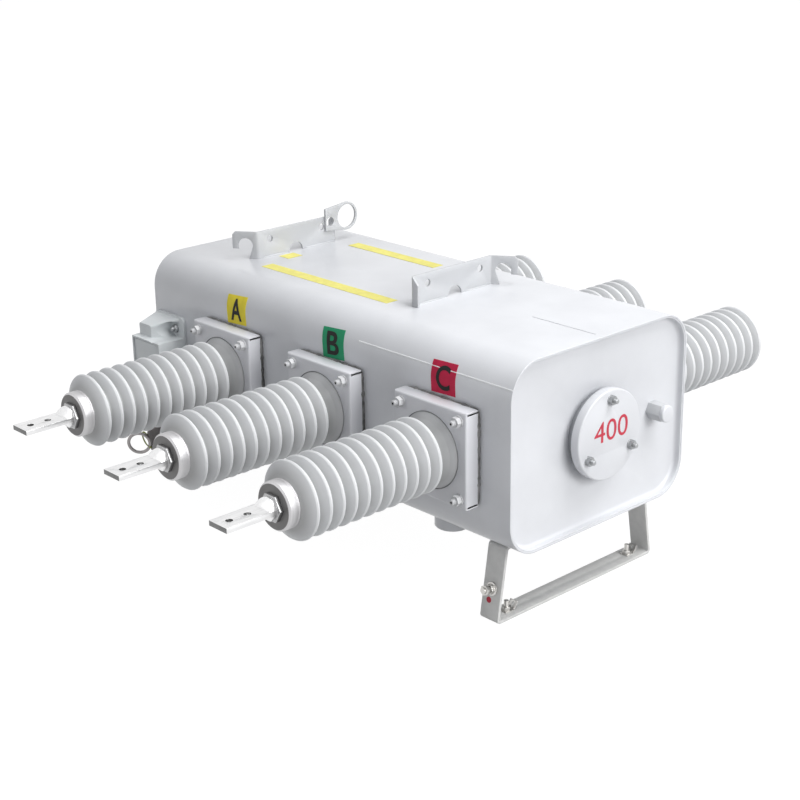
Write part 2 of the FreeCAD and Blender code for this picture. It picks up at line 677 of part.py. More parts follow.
def build_hanger():
    """One hanger about its own web: hook flange at the front end, short flange at the back."""
    turn = math.radians(HOOK_ANGLE)
    along = Vector(-math.cos(turn), -math.sin(turn), 0)
    bend = Vector(0, -HANGER_HOOK_BEND_Y, 0)
    tip = bend + along * HOOK_WIDTH
    points = [
        (tip.x, tip.y),
        (bend.x, bend.y),
        (0, HANGER_RETURN_Y),
        (-RETURN_WIDTH, HANGER_RETURN_Y),
    ]
    plate = bent_strip(points, HANGER_SHEET, HANGER_BEND, lying, Vector(0, 0, HANGER_HEIGHT))
    across = Vector(along.y, -along.x, 0)

    def on_hook(distance, height):
        return bend + along * distance + Z_AXIS * height - across * HANGER_SHEET * 2

    leg_inner = HOOK_SLOT_OFFSET + HOOK_SLOT_RADIUS
    below = -1.0
    slot_side = -math.sqrt(HOOK_SLOT_RADIUS**2 - (HOOK_SLOT_RADIUS / 3) ** 2)
    outline = [
        on_hook(HOOK_FOOT_WIDTH, below),
        on_hook(HOOK_SLOT_OFFSET + slot_side, HOOK_SLOT_RISE - HOOK_SLOT_RADIUS / 3),
        on_hook(HOOK_SLOT_OFFSET, HOOK_SLOT_RISE),
        on_hook(leg_inner, HOOK_SLOT_RISE),
        on_hook(leg_inner, HOOK_LEG_RISE),
        on_hook(HOOK_WIDTH + HANGER_SHEET, HOOK_LEG_RISE),
        on_hook(HOOK_WIDTH + HANGER_SHEET, below),
    ]
    throat = Part.Face(Part.makePolygon(outline + [outline[0]])).extrude(across * HANGER_SHEET * 4)
    round_top = cylinder(on_hook(HOOK_SLOT_OFFSET, HOOK_SLOT_RISE), across, HANGER_SHEET * 4, HOOK_SLOT_RADIUS)
    plate = plate.cut(throat.fuse(round_top))
    web_side = Vector(-HANGER_SHEET, 0, 0)
    drill = HANGER_SHEET * 2
    for y in (-WEB_HOLE_Y, WEB_HOLE_Y):
        start = web_side + Vector(0, y + WEB_HOLE_SHIFT, WEB_HOLE_RISE)
        plate = plate.cut(cylinder(start, X_AXIS, drill, WEB_HOLE_RADIUS))
    plate = plate.cut(cylinder(web_side, X_AXIS, drill, WEB_NOTCH_RADIUS))
    outer = -RETURN_WIDTH - 1
    corner = [
        Vector(outer, HANGER_RETURN_Y - HANGER_SHEET, HANGER_HEIGHT + 1),
        Vector(outer, HANGER_RETURN_Y - HANGER_SHEET, HANGER_HEIGHT - RETURN_CHAMFER - 1),
        Vector(outer + RETURN_CHAMFER + 2, HANGER_RETURN_Y - HANGER_SHEET, HANGER_HEIGHT + 1),
    ]
    plate = plate.cut(Part.Face(Part.makePolygon(corner + [corner[0]])).extrude(Y_AXIS * HANGER_SHEET * 2))
    corner = [
        on_hook(HOOK_WIDTH + 1, HANGER_HEIGHT + 1),
        on_hook(HOOK_WIDTH + 1, HANGER_HEIGHT - HOOK_CHAMFER - 1),
        on_hook(HOOK_WIDTH - HOOK_CHAMFER - 1, HANGER_HEIGHT + 1),
    ]
    return plate.cut(Part.Face(Part.makePolygon(corner + [corner[0]])).extrude(across * HANGER_SHEET * 4))


def eye_small_hole():
    """The bar that drills the small hole through the lifting eye and the left hanger's web."""
    start = Vector(HANGER_LEFT_X - HANGER_SHEET, EYE_SMALL_HOLE_Y, TANK_TOP + EYE_SMALL_HOLE_RISE)
    return cylinder(start, X_AXIS, 3 * HANGER_SHEET + EYE_SHEET, EYE_SMALL_HOLE_RADIUS)


def build_lifting_eye():
    """The lifting eye plate welded beside the left hanger's web."""
    x = HANGER_LEFT_X + HANGER_SHEET / 2
    centre_z = TANK_TOP + EYE_RISE
    outline = [
        Vector(x, EYE_START_Y, centre_z - EYE_HALF_HEIGHT),
        Vector(x, EYE_START_Y, centre_z + EYE_HALF_HEIGHT),
        Vector(x, eye_centre_y, centre_z + EYE_RADIUS),
        Vector(x, eye_centre_y, centre_z - EYE_RADIUS),
    ]
    tail = Part.Face(Part.makePolygon(outline + [outline[0]])).extrude(X_AXIS * EYE_SHEET)
    centre = Vector(x, eye_centre_y, centre_z)
    plate = tail.fuse(cylinder(centre, X_AXIS, EYE_SHEET, EYE_RADIUS)).removeSplitter()
    plate = plate.cut(cylinder(centre - X_AXIS, X_AXIS, EYE_SHEET + 2, EYE_HOLE_RADIUS))
    return plate.cut(eye_small_hole())


def build_leg_frame():
    """A leg frame bent from one flat bar, about x = 0, with its bolt and earth holes."""
    half = LEG_BAR_THICKNESS / 2
    floor = -AXIS_HEIGHT + half
    under_tank = -TANK_BOTTOM - half
    foot = LEG_FOOT_HALF - half
    top = LEG_TOP_HALF - half
    points = [
        (-LEG_TAB_END, under_tank),
        (-top, under_tank),
        (-foot, floor),
        (foot, floor),
        (top, under_tank),
        (LEG_TAB_END, under_tank),
    ]
    frame = bent_strip(points, LEG_BAR_THICKNESS, LEG_BEND, in_tank_section, X_AXIS * LEG_BAR_WIDTH)
    frame.translate(Vector(-LEG_BAR_WIDTH / 2, 0, 0))
    for y in (-LEG_BOLT_Y, LEG_BOLT_Y):
        frame = frame.cut(leg_screw(y))
    return frame


def leg_screw(y):
    """A flush countersunk screw standing up through the foot bar."""
    head = Part.makeCone(
        LEG_BOLT_HEAD_RADIUS,
        LEG_BOLT_RADIUS,
        LEG_BOLT_HEAD_RADIUS - LEG_BOLT_RADIUS,
        Vector(0, y, -AXIS_HEIGHT),
    )
    shank = cylinder(Vector(0, y, -AXIS_HEIGHT), Z_AXIS, LEG_BOLT_LENGTH, LEG_BOLT_RADIUS)
    return head.fuse(shank).removeSplitter()


def build_leg_fasteners():
    """The two foot bar screws of one leg frame, each with a nut on a bent-up tongue washer."""
    pieces = []
    bar_top = -AXIS_HEIGHT + LEG_BAR_THICKNESS
    middle = bar_top + LEG_TONGUE_THICKNESS / 2
    turn = math.radians(LEG_TONGUE_ANGLE)
    rise = Vector(0, math.cos(turn), math.sin(turn))
    for y in (-LEG_BOLT_Y, LEG_BOLT_Y):
        screw = leg_screw(y)
        bend = Vector(0, y + LEG_TONGUE_BEND, middle)
        tip = bend + rise * LEG_TONGUE_RUN
        points = [(y - LEG_TONGUE_WIDTH / 2, middle), (bend.y, bend.z), (tip.y, tip.z)]
        tongue = bent_strip(
            points, LEG_TONGUE_THICKNESS, LEG_TONGUE_THICKNESS, in_tank_section, X_AXIS * LEG_TONGUE_WIDTH
        )
        tongue.translate(Vector(-LEG_TONGUE_WIDTH / 2, 0, 0))
        eye = tip - rise * LEG_TONGUE_HOLE * 2
        out = Vector(0, -rise.z, rise.y)
        tongue = tongue.cut(screw).cut(
            cylinder(eye - out * LEG_TONGUE_THICKNESS, out, 2 * LEG_TONGUE_THICKNESS, LEG_TONGUE_HOLE)
        )
        nut_start = Vector(0, y, bar_top + LEG_TONGUE_THICKNESS)
        nut = hexagon(nut_start, Z_AXIS, LEG_NUT_THICKNESS, LEG_NUT_FLATS)
        pieces += [screw, tongue, nut.cut(screw)]
    return pieces


def earth_bolt_frame(x):
    """Where the earth bolt enters the leg's outer face, and which way is outward."""
    half = LEG_BAR_THICKNESS / 2
    lower = Vector(x, -(LEG_FOOT_HALF - half), -AXIS_HEIGHT + half)
    upper = Vector(x, -(LEG_TOP_HALF - half), -TANK_BOTTOM - half)
    run = (upper - lower).normalize()
    out = Vector(0, -run.z, run.y)
    return lower + run * EARTH_RISE + out * half, out


def build_earth_bolt(x):
    """The earth bolt on the right leg: bolt, two washers and two nuts, square to the bar. The
    space between the nuts takes the earthing lead's lug."""
    face, out = earth_bolt_frame(x)
    back = face - out * LEG_BAR_THICKNESS
    outer_washer_end = EARTH_WASHER_THICKNESS
    shank_start = back - out * EARTH_WASHER_THICKNESS
    outer_nut = EARTH_WASHER_THICKNESS + EARTH_HEAD_THICKNESS + EARTH_LUG_GAP
    tail = outer_nut + EARTH_HEAD_THICKNESS + EARTH_TAIL
    length = EARTH_WASHER_THICKNESS + LEG_BAR_THICKNESS + tail
    shank = cylinder(shank_start, out, length, EARTH_RADIUS)
    head_start = shank_start - out * EARTH_HEAD_THICKNESS
    head = hexagon(head_start, out, EARTH_HEAD_THICKNESS, EARTH_HEAD_FLATS)
    bolt = shank.fuse(head).removeSplitter()
    washer_in = cylinder(shank_start, out, EARTH_WASHER_THICKNESS, EARTH_WASHER_RADIUS).cut(bolt)
    washer_out = cylinder(face, out, EARTH_WASHER_THICKNESS, EARTH_WASHER_RADIUS).cut(bolt)
    nut_start = face + out * outer_washer_end
    nut = hexagon(nut_start, out, EARTH_HEAD_THICKNESS, EARTH_HEAD_FLATS).cut(bolt)
    lug_nut = hexagon(face + out * outer_nut, out, EARTH_HEAD_THICKNESS, EARTH_HEAD_FLATS, EARTH_NUT_TURN).cut(bolt)
    return bolt, [bolt, washer_in, washer_out, nut, lug_nut]


def connector_section(left, width, top, height, y):
    """A rectangular outline across the connector at one depth."""
    corners = [
        Vector(left, y, top - height),
        Vector(left + width, y, top - height),
        Vector(left + width, y, top),
        Vector(left, y, top),
    ]
    return Part.makePolygon(corners + [corners[0]])


def build_connector():
    """The cast control connector: wall flange, drafted body, sloping hood with a scooped side
    for its bolt, and a mouth with its cap."""
    wall = -TANK_HALF_DEPTH
    flange_face = wall - CONNECTOR_FLANGE
    bottom = CONNECTOR_TOP - CONNECTOR_HEIGHT
    right = connector_left + CONNECTOR_WIDTH
    flange = block((connector_left, flange_face, bottom), (right, wall, CONNECTOR_TOP))
    corners = [edge for edge in flange.Edges if abs(edge.tangentAt(edge.FirstParameter).y) > 0.99]
    flange = flange.makeFillet(CONNECTOR_CORNER, corners)
    mouth_front = wall - MOUTH_OUT
    mouth_back = mouth_front + MOUTH_DEPTH
    draft = CONNECTOR_DRAFT
    neck = Part.makeLoft([
        connector_section(
            mouth_left + draft, MOUTH_WIDTH - 2 * draft, MOUTH_TOP - draft, MOUTH_HEIGHT - 2 * draft, flange_face
        ),
        connector_section(mouth_left, MOUTH_WIDTH, MOUTH_TOP, MOUTH_HEIGHT, mouth_back),
    ], True)
    mouth = block(
        (mouth_left, mouth_front, MOUTH_TOP - MOUTH_HEIGHT), (mouth_left + MOUTH_WIDTH, mouth_back, MOUTH_TOP)
    )
    hood_low = MOUTH_TOP - MOUTH_HEIGHT / 2
    root_left = mouth_left - draft
    hood = Part.makeLoft([
        connector_section(root_left, HOOD_ROOT_WIDTH, HOOD_ROOT_TOP, HOOD_ROOT_TOP - hood_low, flange_face),
        connector_section(hood_left, HOOD_WIDTH, HOOD_TOP, HOOD_TOP - hood_low, wall - HOOD_OUT),
    ], True)
    hood_edges = [
        edge for edge in hood.Edges
        if abs(edge.tangentAt(edge.FirstParameter).y) > 0.7 and edge.BoundBox.ZMin > HOOD_TOP - 0.01
    ]
    hood = hood.makeFillet(HOOD_EDGE, hood_edges)
    body = flange.fuse([neck, mouth, hood]).removeSplitter()
    body = body.cut(block(
        (mouth_left + MOUTH_WALL, mouth_front - 1, MOUTH_TOP - MOUTH_HEIGHT + MOUTH_WALL),
        (mouth_left + MOUTH_WIDTH - MOUTH_WALL, mouth_front + MOUTH_RECESS, MOUTH_TOP - MOUTH_WALL),
    ))
    cable_x = mouth_left + MOUTH_WIDTH / 2
    cable_z = MOUTH_TOP - MOUTH_HEIGHT / 2
    cable = cylinder(Vector(cable_x, mouth_front, cable_z), Y_AXIS, MOUTH_OUT + 1, CABLE_HOLE_RADIUS)
    body = body.cut(cable)
    bolts = []
    margin = CONNECTOR_BOLT_MARGIN
    upper = CONNECTOR_TOP - 2 * margin
    lower = bottom + margin
    scoop = (SCOOP_RADIUS, MOUTH_OUT)
    pocket = (NUT_POCKET_RADIUS, NUT_POCKET_DEPTH)
    for x, z, room in (
        (right - 2 * margin, upper, scoop),
        (connector_left + margin, upper, pocket),
        (connector_left + margin, lower, pocket),
        (right - margin, lower, pocket),
    ):
        shank_length = CONNECTOR_FLANGE + CONNECTOR_NUT_THICKNESS + CONNECTOR_BOLT_END
        shank = cylinder(Vector(x, wall, z), -Y_AXIS, shank_length, CONNECTOR_BOLT_RADIUS)
        nut_start = Vector(x, flange_face, z)
        nut = hexagon(nut_start, -Y_AXIS, CONNECTOR_NUT_THICKNESS, CONNECTOR_NUT_FLATS)
        body = body.cut(cylinder(nut_start, -Y_AXIS, room[1], room[0])).cut(shank)
        bolts += [shank, nut.cut(shank)]
    edge = MOUTH_WALL + CONNECTOR_CAP_GAP
    cap = block(
        (mouth_left + edge, mouth_front + CONNECTOR_CAP_DEPTH, MOUTH_TOP - MOUTH_HEIGHT + edge),
        (mouth_left + MOUTH_WIDTH - edge, mouth_front + MOUTH_RECESS, MOUTH_TOP - edge),
    )
    return body, cap, bolts


def build_relief(tank_outer):
    """The round pressure relief housing that meets the tank's lower front corner."""
    drop = TANK_BOTTOM + RELIEF_DROP
    housing = cylinder(Vector(RELIEF_X, RELIEF_Y, -drop), Z_AXIS, RELIEF_DROP + TANK_CORNER, RELIEF_RADIUS)
    rims = [edge for edge in housing.Edges if edge.BoundBox.ZMax < -drop + 0.01]
    return housing.makeChamfer(RELIEF_CHAMFER, rims).cut(tank_outer)


def build_main_shaft():
    """The insulating shaft with a journal at each end."""
    left = end_face_left + END_THICKNESS + BEARING_FLANGE + SHAFT_END_PLAY
    right = end_face_right - END_THICKNESS - BEARING_FLANGE - SHAFT_END_PLAY
    journal_left = crank_face
    journal_right = end_face_right + BEARING_LENGTH / 2
    body = cylinder(Vector(left, 0, 0), X_AXIS, right - left, SHAFT_RADIUS)
    journal = cylinder(Vector(journal_left, 0, 0), X_AXIS, journal_right - journal_left, JOURNAL_RADIUS)
    return body.fuse(journal).removeSplitter()


def build_blade_hub(x):
    """The insulating hub that carries one blade on the shaft."""
    half_blade = BLADE_THICKNESS / 2
    hub = cylinder(Vector(x - HUB_HALF_LENGTH, 0, 0), X_AXIS, 2 * HUB_HALF_LENGTH, HUB_RADIUS)
    shoulder = cylinder(
        Vector(x + half_blade, 0, 0), X_AXIS, HUB_HALF_LENGTH - half_blade, HUB_SHOULDER_RADIUS
    )
    bore = cylinder(Vector(x - HUB_HALF_LENGTH, 0, 0), X_AXIS, 2 * HUB_HALF_LENGTH, SHAFT_RADIUS)
    return hub.fuse(shoulder).removeSplitter().cut(bore)


def build_blade(x):
    """One double-break moving blade: an eye round the hub with an arm to each side."""
    start = Vector(x - BLADE_THICKNESS / 2, 0, 0)
    eye = cylinder(start, X_AXIS, BLADE_THICKNESS, BLADE_EYE_RADIUS)
    half = BLADE_WIDTH / 2
    arms = block((start.x, -BLADE_TIP, -half), (start.x + BLADE_THICKNESS, BLADE_TIP, half))
    tips = [edge for edge in arms.Edges if abs(edge.tangentAt(edge.FirstParameter).x) > 0.99]
    arms = arms.makeFillet(BLADE_WIDTH / 4, tips)
    blade = eye.fuse(arms).removeSplitter()
    return blade.cut(cylinder(start, X_AXIS, BLADE_THICKNESS, HUB_RADIUS))


def build_fixed_contact():
    """A fixed contact on a conductor's inner end: a block with two jaws beside the blade."""
    gap = BLADE_THICKNESS / 2 + CONTACT_GAP
    outer = gap + CONTACT_JAW
    block_inner = CONDUCTOR_INNER_END - CONTACT_BLOCK
    contact = block(
        (-outer, -CONDUCTOR_INNER_END, -CONTACT_HALF_HEIGHT), (outer, -block_inner, CONTACT_HALF_HEIGHT)
    )
    for side in (-1, 1):
        low = min(side * gap, side * outer)
        high = max(side * gap, side * outer)
        jaw = block(
            (low, -block_inner, -CONTACT_HALF_HEIGHT),
            (high, -block_inner + CONTACT_REACH, CONTACT_HALF_HEIGHT),
        )
        contact = contact.fuse(jaw)
    return contact.removeSplitter()


def build_bearing(side):
    """A flanged shaft bearing in one end plate. side is 1 right, -1 left."""
    face = end_face_right if side > 0 else -end_face_left
    inner = face - END_THICKNESS - BEARING_FLANGE
    flange = cylinder(Vector(inner, 0, 0), X_AXIS, BEARING_FLANGE, BEARING_FLANGE_RADIUS)
    sleeve = cylinder(Vector(inner, 0, 0), X_AXIS, BEARING_LENGTH, BEARING_RADIUS)
    bearing = flange.fuse(sleeve).removeSplitter()
    bore = cylinder(Vector(inner - 1, 0, 0), X_AXIS, BEARING_LENGTH + 2, JOURNAL_RADIUS + JOURNAL_CLEARANCE)
    bearing = bearing.cut(bore)
    if side < 0:
        bearing.rotate(Vector(0, 0, 0), Z_AXIS, 180)
    return bearing


def mech_outline(x_low, x_high, inset):
    """A rounded block of the mechanism housing's outline, drawn in by a distance."""
    body = block(
        (x_low, -MECH_HALF_WIDTH + inset, -MECH_BOTTOM + inset),
        (x_high, MECH_HALF_WIDTH - inset, MECH_TOP - inset),
    )
    long_edges = [edge for edge in body.Edges if abs(edge.tangentAt(edge.FirstParameter).x) > 0.99]
    return body.makeFillet(MECH_CORNER - inset, long_edges)


def mech_screw_places():
    """The four screws that hold the mechanism cover, in its corners."""
    y = MECH_HALF_WIDTH - MECH_LUG
    return [(side * y, z) for side in (-1, 1) for z in (MECH_TOP - MECH_LUG, -MECH_BOTTOM + MECH_LUG)]


def build_mechanism_case():
    """Back plate, deep-drawn cover and screws of the mechanism housing."""
    plate = mech_outline(mech_plate_face, -TANK_LEFT, 0)
    hole = cylinder(Vector(mech_plate_face - 1, 0, 0), X_AXIS, MECH_PLATE + 2, JOURNAL_RADIUS + 2)
    plate = plate.cut(hole)
    spacers = []
    for y, z in mech_screw_places():
        if z > 0:
            spacers.append(cylinder(Vector(-TANK_LEFT, y, z), X_AXIS, END_RECESS, MECH_SPACER_RADIUS))
    plate = plate.fuse(spacers).removeSplitter()
    cover = mech_outline(mech_cover_face, mech_plate_face, 0)
    rims = [edge for edge in cover.Edges if edge.BoundBox.XMax < mech_cover_face + 0.01]
    cover = cover.makeFillet(MECH_CORNER / 2, rims)
    cover = cover.cut(mech_outline(mech_cover_face + MECH_SHEET, mech_plate_face + 1, MECH_SHEET))
    pivot = Vector(mech_cover_face - 1, 0, -PIVOT_DROP)
    cover = cover.cut(cylinder(pivot, X_AXIS, MECH_SHEET + 2, BUSH_RADIUS))
    screws = []
    for y, z in mech_screw_places():
        head = cylinder(Vector(mech_cover_face, y, z), -X_AXIS, MECH_SCREW_HEAD, MECH_SCREW_HEAD_RADIUS)
        shank = cylinder(Vector(mech_cover_face, y, z), X_AXIS, MECH_DEPTH, MECH_SCREW_RADIUS)
        screws.append(head.fuse(shank).removeSplitter())
        cover = cover.cut(shank)
    return plate, cover, screws


def crank_outline(centre, length, angle, x, thickness, hub, tip):
    """A flat arm with round ends from a centre, in the tank's cross section."""
    turn = math.radians(angle)
    end = centre + Vector(0, math.cos(turn), math.sin(turn)) * length
    side = Vector(0, -math.sin(turn), math.cos(turn))
    corners = [centre + side * hub, end + side * tip, end - side * tip, centre - side * hub]
    corners = [Vector(x, corner.y, corner.z) for corner in corners]
    arm = Part.Face(Part.makePolygon(corners + [corners[0]])).extrude(X_AXIS * thickness)
    ends = [
        cylinder(Vector(x, centre.y, centre.z), X_AXIS, thickness, hub),
        cylinder(Vector(x, end.y, end.z), X_AXIS, thickness, tip),
    ]
    return arm.fuse(ends).removeSplitter(), end


def build_crank(centre, bore):
    """A crank with its link pin, on a shaft at a centre."""
    arm, end = crank_outline(
        centre, CRANK_RADIUS, crank_angle, crank_face, CRANK_THICKNESS, CRANK_HUB_RADIUS, CRANK_TIP_RADIUS
    )
    arm = arm.cut(cylinder(Vector(crank_face - 1, centre.y, centre.z), X_AXIS, CRANK_THICKNESS + 2, bore))
    pin_length = crank_face - link_front
    pin = cylinder(Vector(link_front, end.y, end.z), X_AXIS, pin_length + CRANK_THICKNESS, PIN_LINK_RADIUS)
    return arm.fuse(pin).removeSplitter(), end


def build_link(lower, upper):
    """The upright link between the lever's crank and the main shaft's crank."""
    half = LINK_WAIST / 2
    bar = block((link_front, lower.y - half, lower.z), (link_back, lower.y + half, upper.z))
    eyes = [cylinder(Vector(link_front, p.y, p.z), X_AXIS, LINK_THICKNESS, LINK_EYE_RADIUS) for p in (lower, upper)]
    link = bar.fuse(eyes).removeSplitter()
    lower_hole = PIN_LINK_RADIUS + LINK_CLEARANCE
    upper_hole = PIN_LINK_RADIUS + LINK_OPEN_CLEARANCE
    for place, radius in ((lower, lower_hole), (upper, upper_hole)):
        start = Vector(link_front - 1, place.y, place.z)
        link = link.cut(cylinder(start, X_AXIS, LINK_THICKNESS + 2, radius))
    return link


def build_lever_parts():
    """The lever's shaft, its bearing block and bush, the lever and its nut."""
    pivot = Vector(0, 0, -PIVOT_DROP)
    inner = mech_plate_face - JOURNAL_CLEARANCE
    shaft = cylinder(Vector(lever_shaft_end, 0, pivot.z), X_AXIS, inner - lever_shaft_end, PIVOT_RADIUS)
    hole_radius = PIVOT_RADIUS + JOURNAL_CLEARANCE
    block_length = CRANK_STANDOFF - SHAFT_END_PLAY
    bearing = cylinder(Vector(mech_plate_face, 0, pivot.z), -X_AXIS, block_length, BLOCK_RADIUS)
    bearing = bearing.cut(cylinder(Vector(mech_plate_face, 0, pivot.z), -X_AXIS, block_length, hole_radius))
    bush_depth = MECH_SHEET + 2 * BUSH_FLANGE
    bush = cylinder(Vector(mech_cover_face - BUSH_FLANGE, 0, pivot.z), X_AXIS, BUSH_FLANGE, BUSH_FLANGE_RADIUS)
    sleeve = cylinder(Vector(mech_cover_face - BUSH_FLANGE, 0, pivot.z), X_AXIS, bush_depth, BUSH_RADIUS)
    bush = bush.fuse(sleeve).removeSplitter()
    bush = bush.cut(
        cylinder(Vector(mech_cover_face - BUSH_FLANGE - 1, 0, pivot.z), X_AXIS, bush_depth + 2, hole_radius)
    )
    lever, rings = build_lever(pivot)
    washer_start = Vector(lever_front, 0, pivot.z)
    washer = cylinder(washer_start, -X_AXIS, LEVER_WASHER_THICKNESS, LEVER_WASHER_RADIUS).cut(shaft)
    nut_start = Vector(lever_washer_front, 0, pivot.z)
    nut = hexagon(nut_start, -X_AXIS, LEVER_NUT_THICKNESS, LEVER_NUT_FLATS).cut(shaft)
    return shaft, bearing, bush, lever, rings, [washer, nut]


def build_lever(pivot):
    """The V-shaped hook-stick lever, with a pull ring welded to the end of each arm. The rings
    stand away from the housing and are turned so that a hook reaches them from two sides."""
    turn = math.radians(RING_TURN)
    pieces = [cylinder(Vector(lever_front, 0, pivot.z), X_AXIS, LEVER_THICKNESS, LEVER_HUB_RADIUS)]
    rings = []
    for way, rise in ((-1, -LEVER_DROOP), (1, OPENING_ANGLE - LEVER_DROOP)):
        angle = math.radians(rise)
        arm = Vector(0, way * math.cos(angle), math.sin(angle))
        side = Vector(0, -arm.z, arm.y)
        ring_centre = pivot + arm * LEVER_REACH
        arm_end = pivot + arm * (LEVER_REACH - RING_RADIUS * math.cos(turn))
        root = LEVER_ROOT_WIDTH / 2
        tip = LEVER_TIP_WIDTH / 2
        corners = [pivot + side * root, arm_end + side * tip, arm_end - side * tip, pivot - side * root]
        corners = [Vector(lever_front, corner.y, corner.z) for corner in corners]
        bar = Part.Face(Part.makePolygon(corners + [corners[0]])).extrude(X_AXIS * LEVER_THICKNESS)
        ends = [
            edge for edge in bar.Edges
            if abs(edge.tangentAt(edge.FirstParameter).x) > 0.99
            and (edge.CenterOfMass - Vector(edge.CenterOfMass.x, arm_end.y, arm_end.z)).Length < 1.1 * tip
        ]
        pieces.append(bar.makeFillet(LEVER_TIP_CORNER, ends))
        centre = Vector(lever_middle - ring_offset, ring_centre.y, ring_centre.z)
        facing = X_AXIS * math.cos(turn) + arm * math.sin(turn)
        rings.append(Part.makeTorus(RING_RADIUS, RING_WIRE, centre, facing))
    bore = cylinder(Vector(lever_front - 1, 0, pivot.z), X_AXIS, LEVER_THICKNESS + 2, PIVOT_RADIUS)
    lever = pieces[0].fuse(pieces[1:]).removeSplitter().cut([bore] + rings)
    return lever, rings


def main():
    os.makedirs("parts", exist_ok=True)
    tank_outer, tank_shell = build_tank()
    save("tank_shell", tank_shell)
    save("end_plate_left", build_end_plate(-1))
    save("end_plate_right", build_end_plate(1))

    bushings = {
        "front": build_bushing(SHED_COUNT_FRONT, front_end),
        "rear": build_bushing(SHED_COUNT_REAR, rear_end),
    }
    ferrules = {
        "front": build_ferrule(front_end, FERRULE_LENGTH),
        "rear": build_ferrule(rear_end, REAR_CAP_LENGTH),
    }
    terminals = {"front": build_terminal(), "rear": build_rear_conductor()}
    clamp = build_clamp_plate()
    neck, seal, cover, cover_fasteners = build_cover_set()
    shared = {"gaskets": [seal], "ferrules": [], "terminal_nuts": [], "fixed_contacts": []}
    fasteners = {"front": [], "rear": []}
    for phase, x in zip(PHASE_NAMES, phase_x):
        for side in ("front", "rear"):
            rear = side == "rear"
            save("bushing_%s_%s" % (side, phase), on_phase(bushings[side], x, rear))
            save("terminal_%s_%s" % (side, phase), on_phase(terminals[side], x, rear))
            save("clamp_plate_%s_%s" % (side, phase), on_phase(clamp, x, rear))
            shared["gaskets"].append(on_phase(build_bushing_gasket(), x, rear))
            shared["ferrules"].append(on_phase(ferrules[side], x, rear))
            shared["fixed_contacts"].append(on_phase(build_fixed_contact(), x, rear))
            fasteners[side] += [on_phase(piece, x, rear) for piece in build_clamp_fasteners()]
        shared["terminal_nuts"].append(on_phase(build_lock_nut(), x, False))
    for node, pieces in shared.items():
        save(node, pieces)
    for side, pieces in fasteners.items():
        save("clamp_fasteners_" + side, pieces)

    save("cover_neck", neck)
    save("round_cover", cover)
    save("cover_fasteners", cover_fasteners)
    stub, cap = build_fill_port()
    save("gas_fill_port", stub)
    save("gas_fill_cap", cap)

    hanger = build_hanger()
    hanger.translate(Vector(0, 0, TANK_TOP))
    left_hanger = hanger.copy()
    left_hanger.translate(Vector(HANGER_LEFT_X, 0, 0))
    save("hanger_left", left_hanger.cut(eye_small_hole()))
    right_hanger = hanger.copy()
    right_hanger.rotate(Vector(0, 0, 0), Z_AXIS, 180)
    right_hanger.translate(Vector(HANGER_RIGHT_X, 0, 0))
    save("hanger_right", right_hanger)
    save("lifting_eye", build_lifting_eye())

    frame = build_leg_frame()
    leg_right = TANK_RIGHT - LEG_INSET
    leg_left = -TANK_LEFT + LEG_INSET
    bolt, earth_pieces = build_earth_bolt(leg_right)
    leg_fasteners = []
    for node, x in (("leg_frame_left", leg_left), ("leg_frame_right", leg_right)):
        placed = frame.copy()
        placed.translate(Vector(x, 0, 0))
        save(node, placed.cut(bolt))
        for piece in build_leg_fasteners():
            piece.translate(Vector(x, 0, 0))
            leg_fasteners.append(piece)
    save("leg_fasteners", leg_fasteners)
    save("earth_bolt", earth_pieces)

    body, cap, bolts = build_connector()
    save("connector_housing", body)
    save("connector_cap", cap)
    save("connector_bolts", bolts)
    save("relief_housing", build_relief(tank_outer))

    save("shaft_bearings", [build_bearing(-1), build_bearing(1)])
    save("main_shaft", build_main_shaft())
    save("blade_hubs", [build_blade_hub(x) for x in phase_x])
    for phase, x in zip(PHASE_NAMES, phase_x):
        save("moving_blade_" + phase, build_blade(x))

    plate, case_cover, screws = build_mechanism_case()
    save("mechanism_plate", plate)
    save("mechanism_cover", case_cover)
    save("mechanism_screws", screws)
    main_crank, main_pin = build_crank(Vector(0, 0, 0), JOURNAL_RADIUS)
    lever_crank, lever_pin = build_crank(Vector(0, 0, -PIVOT_DROP), PIVOT_RADIUS)
    save("main_crank", main_crank)
    save("lever_crank", lever_crank)
    save("drive_link", build_link(lever_pin, main_pin))
    shaft, pivot_block, bush, lever, rings, nut = build_lever_parts()
    save("lever_shaft", shaft)
    save("lever_bearings", [pivot_block, bush])
    save("operating_lever", lever)
    save("pull_rings", rings)
    save("lever_nut", nut)


main()
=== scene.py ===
import bpy
import bmesh
import json
import math
import random
from mathutils import Matrix, Vector

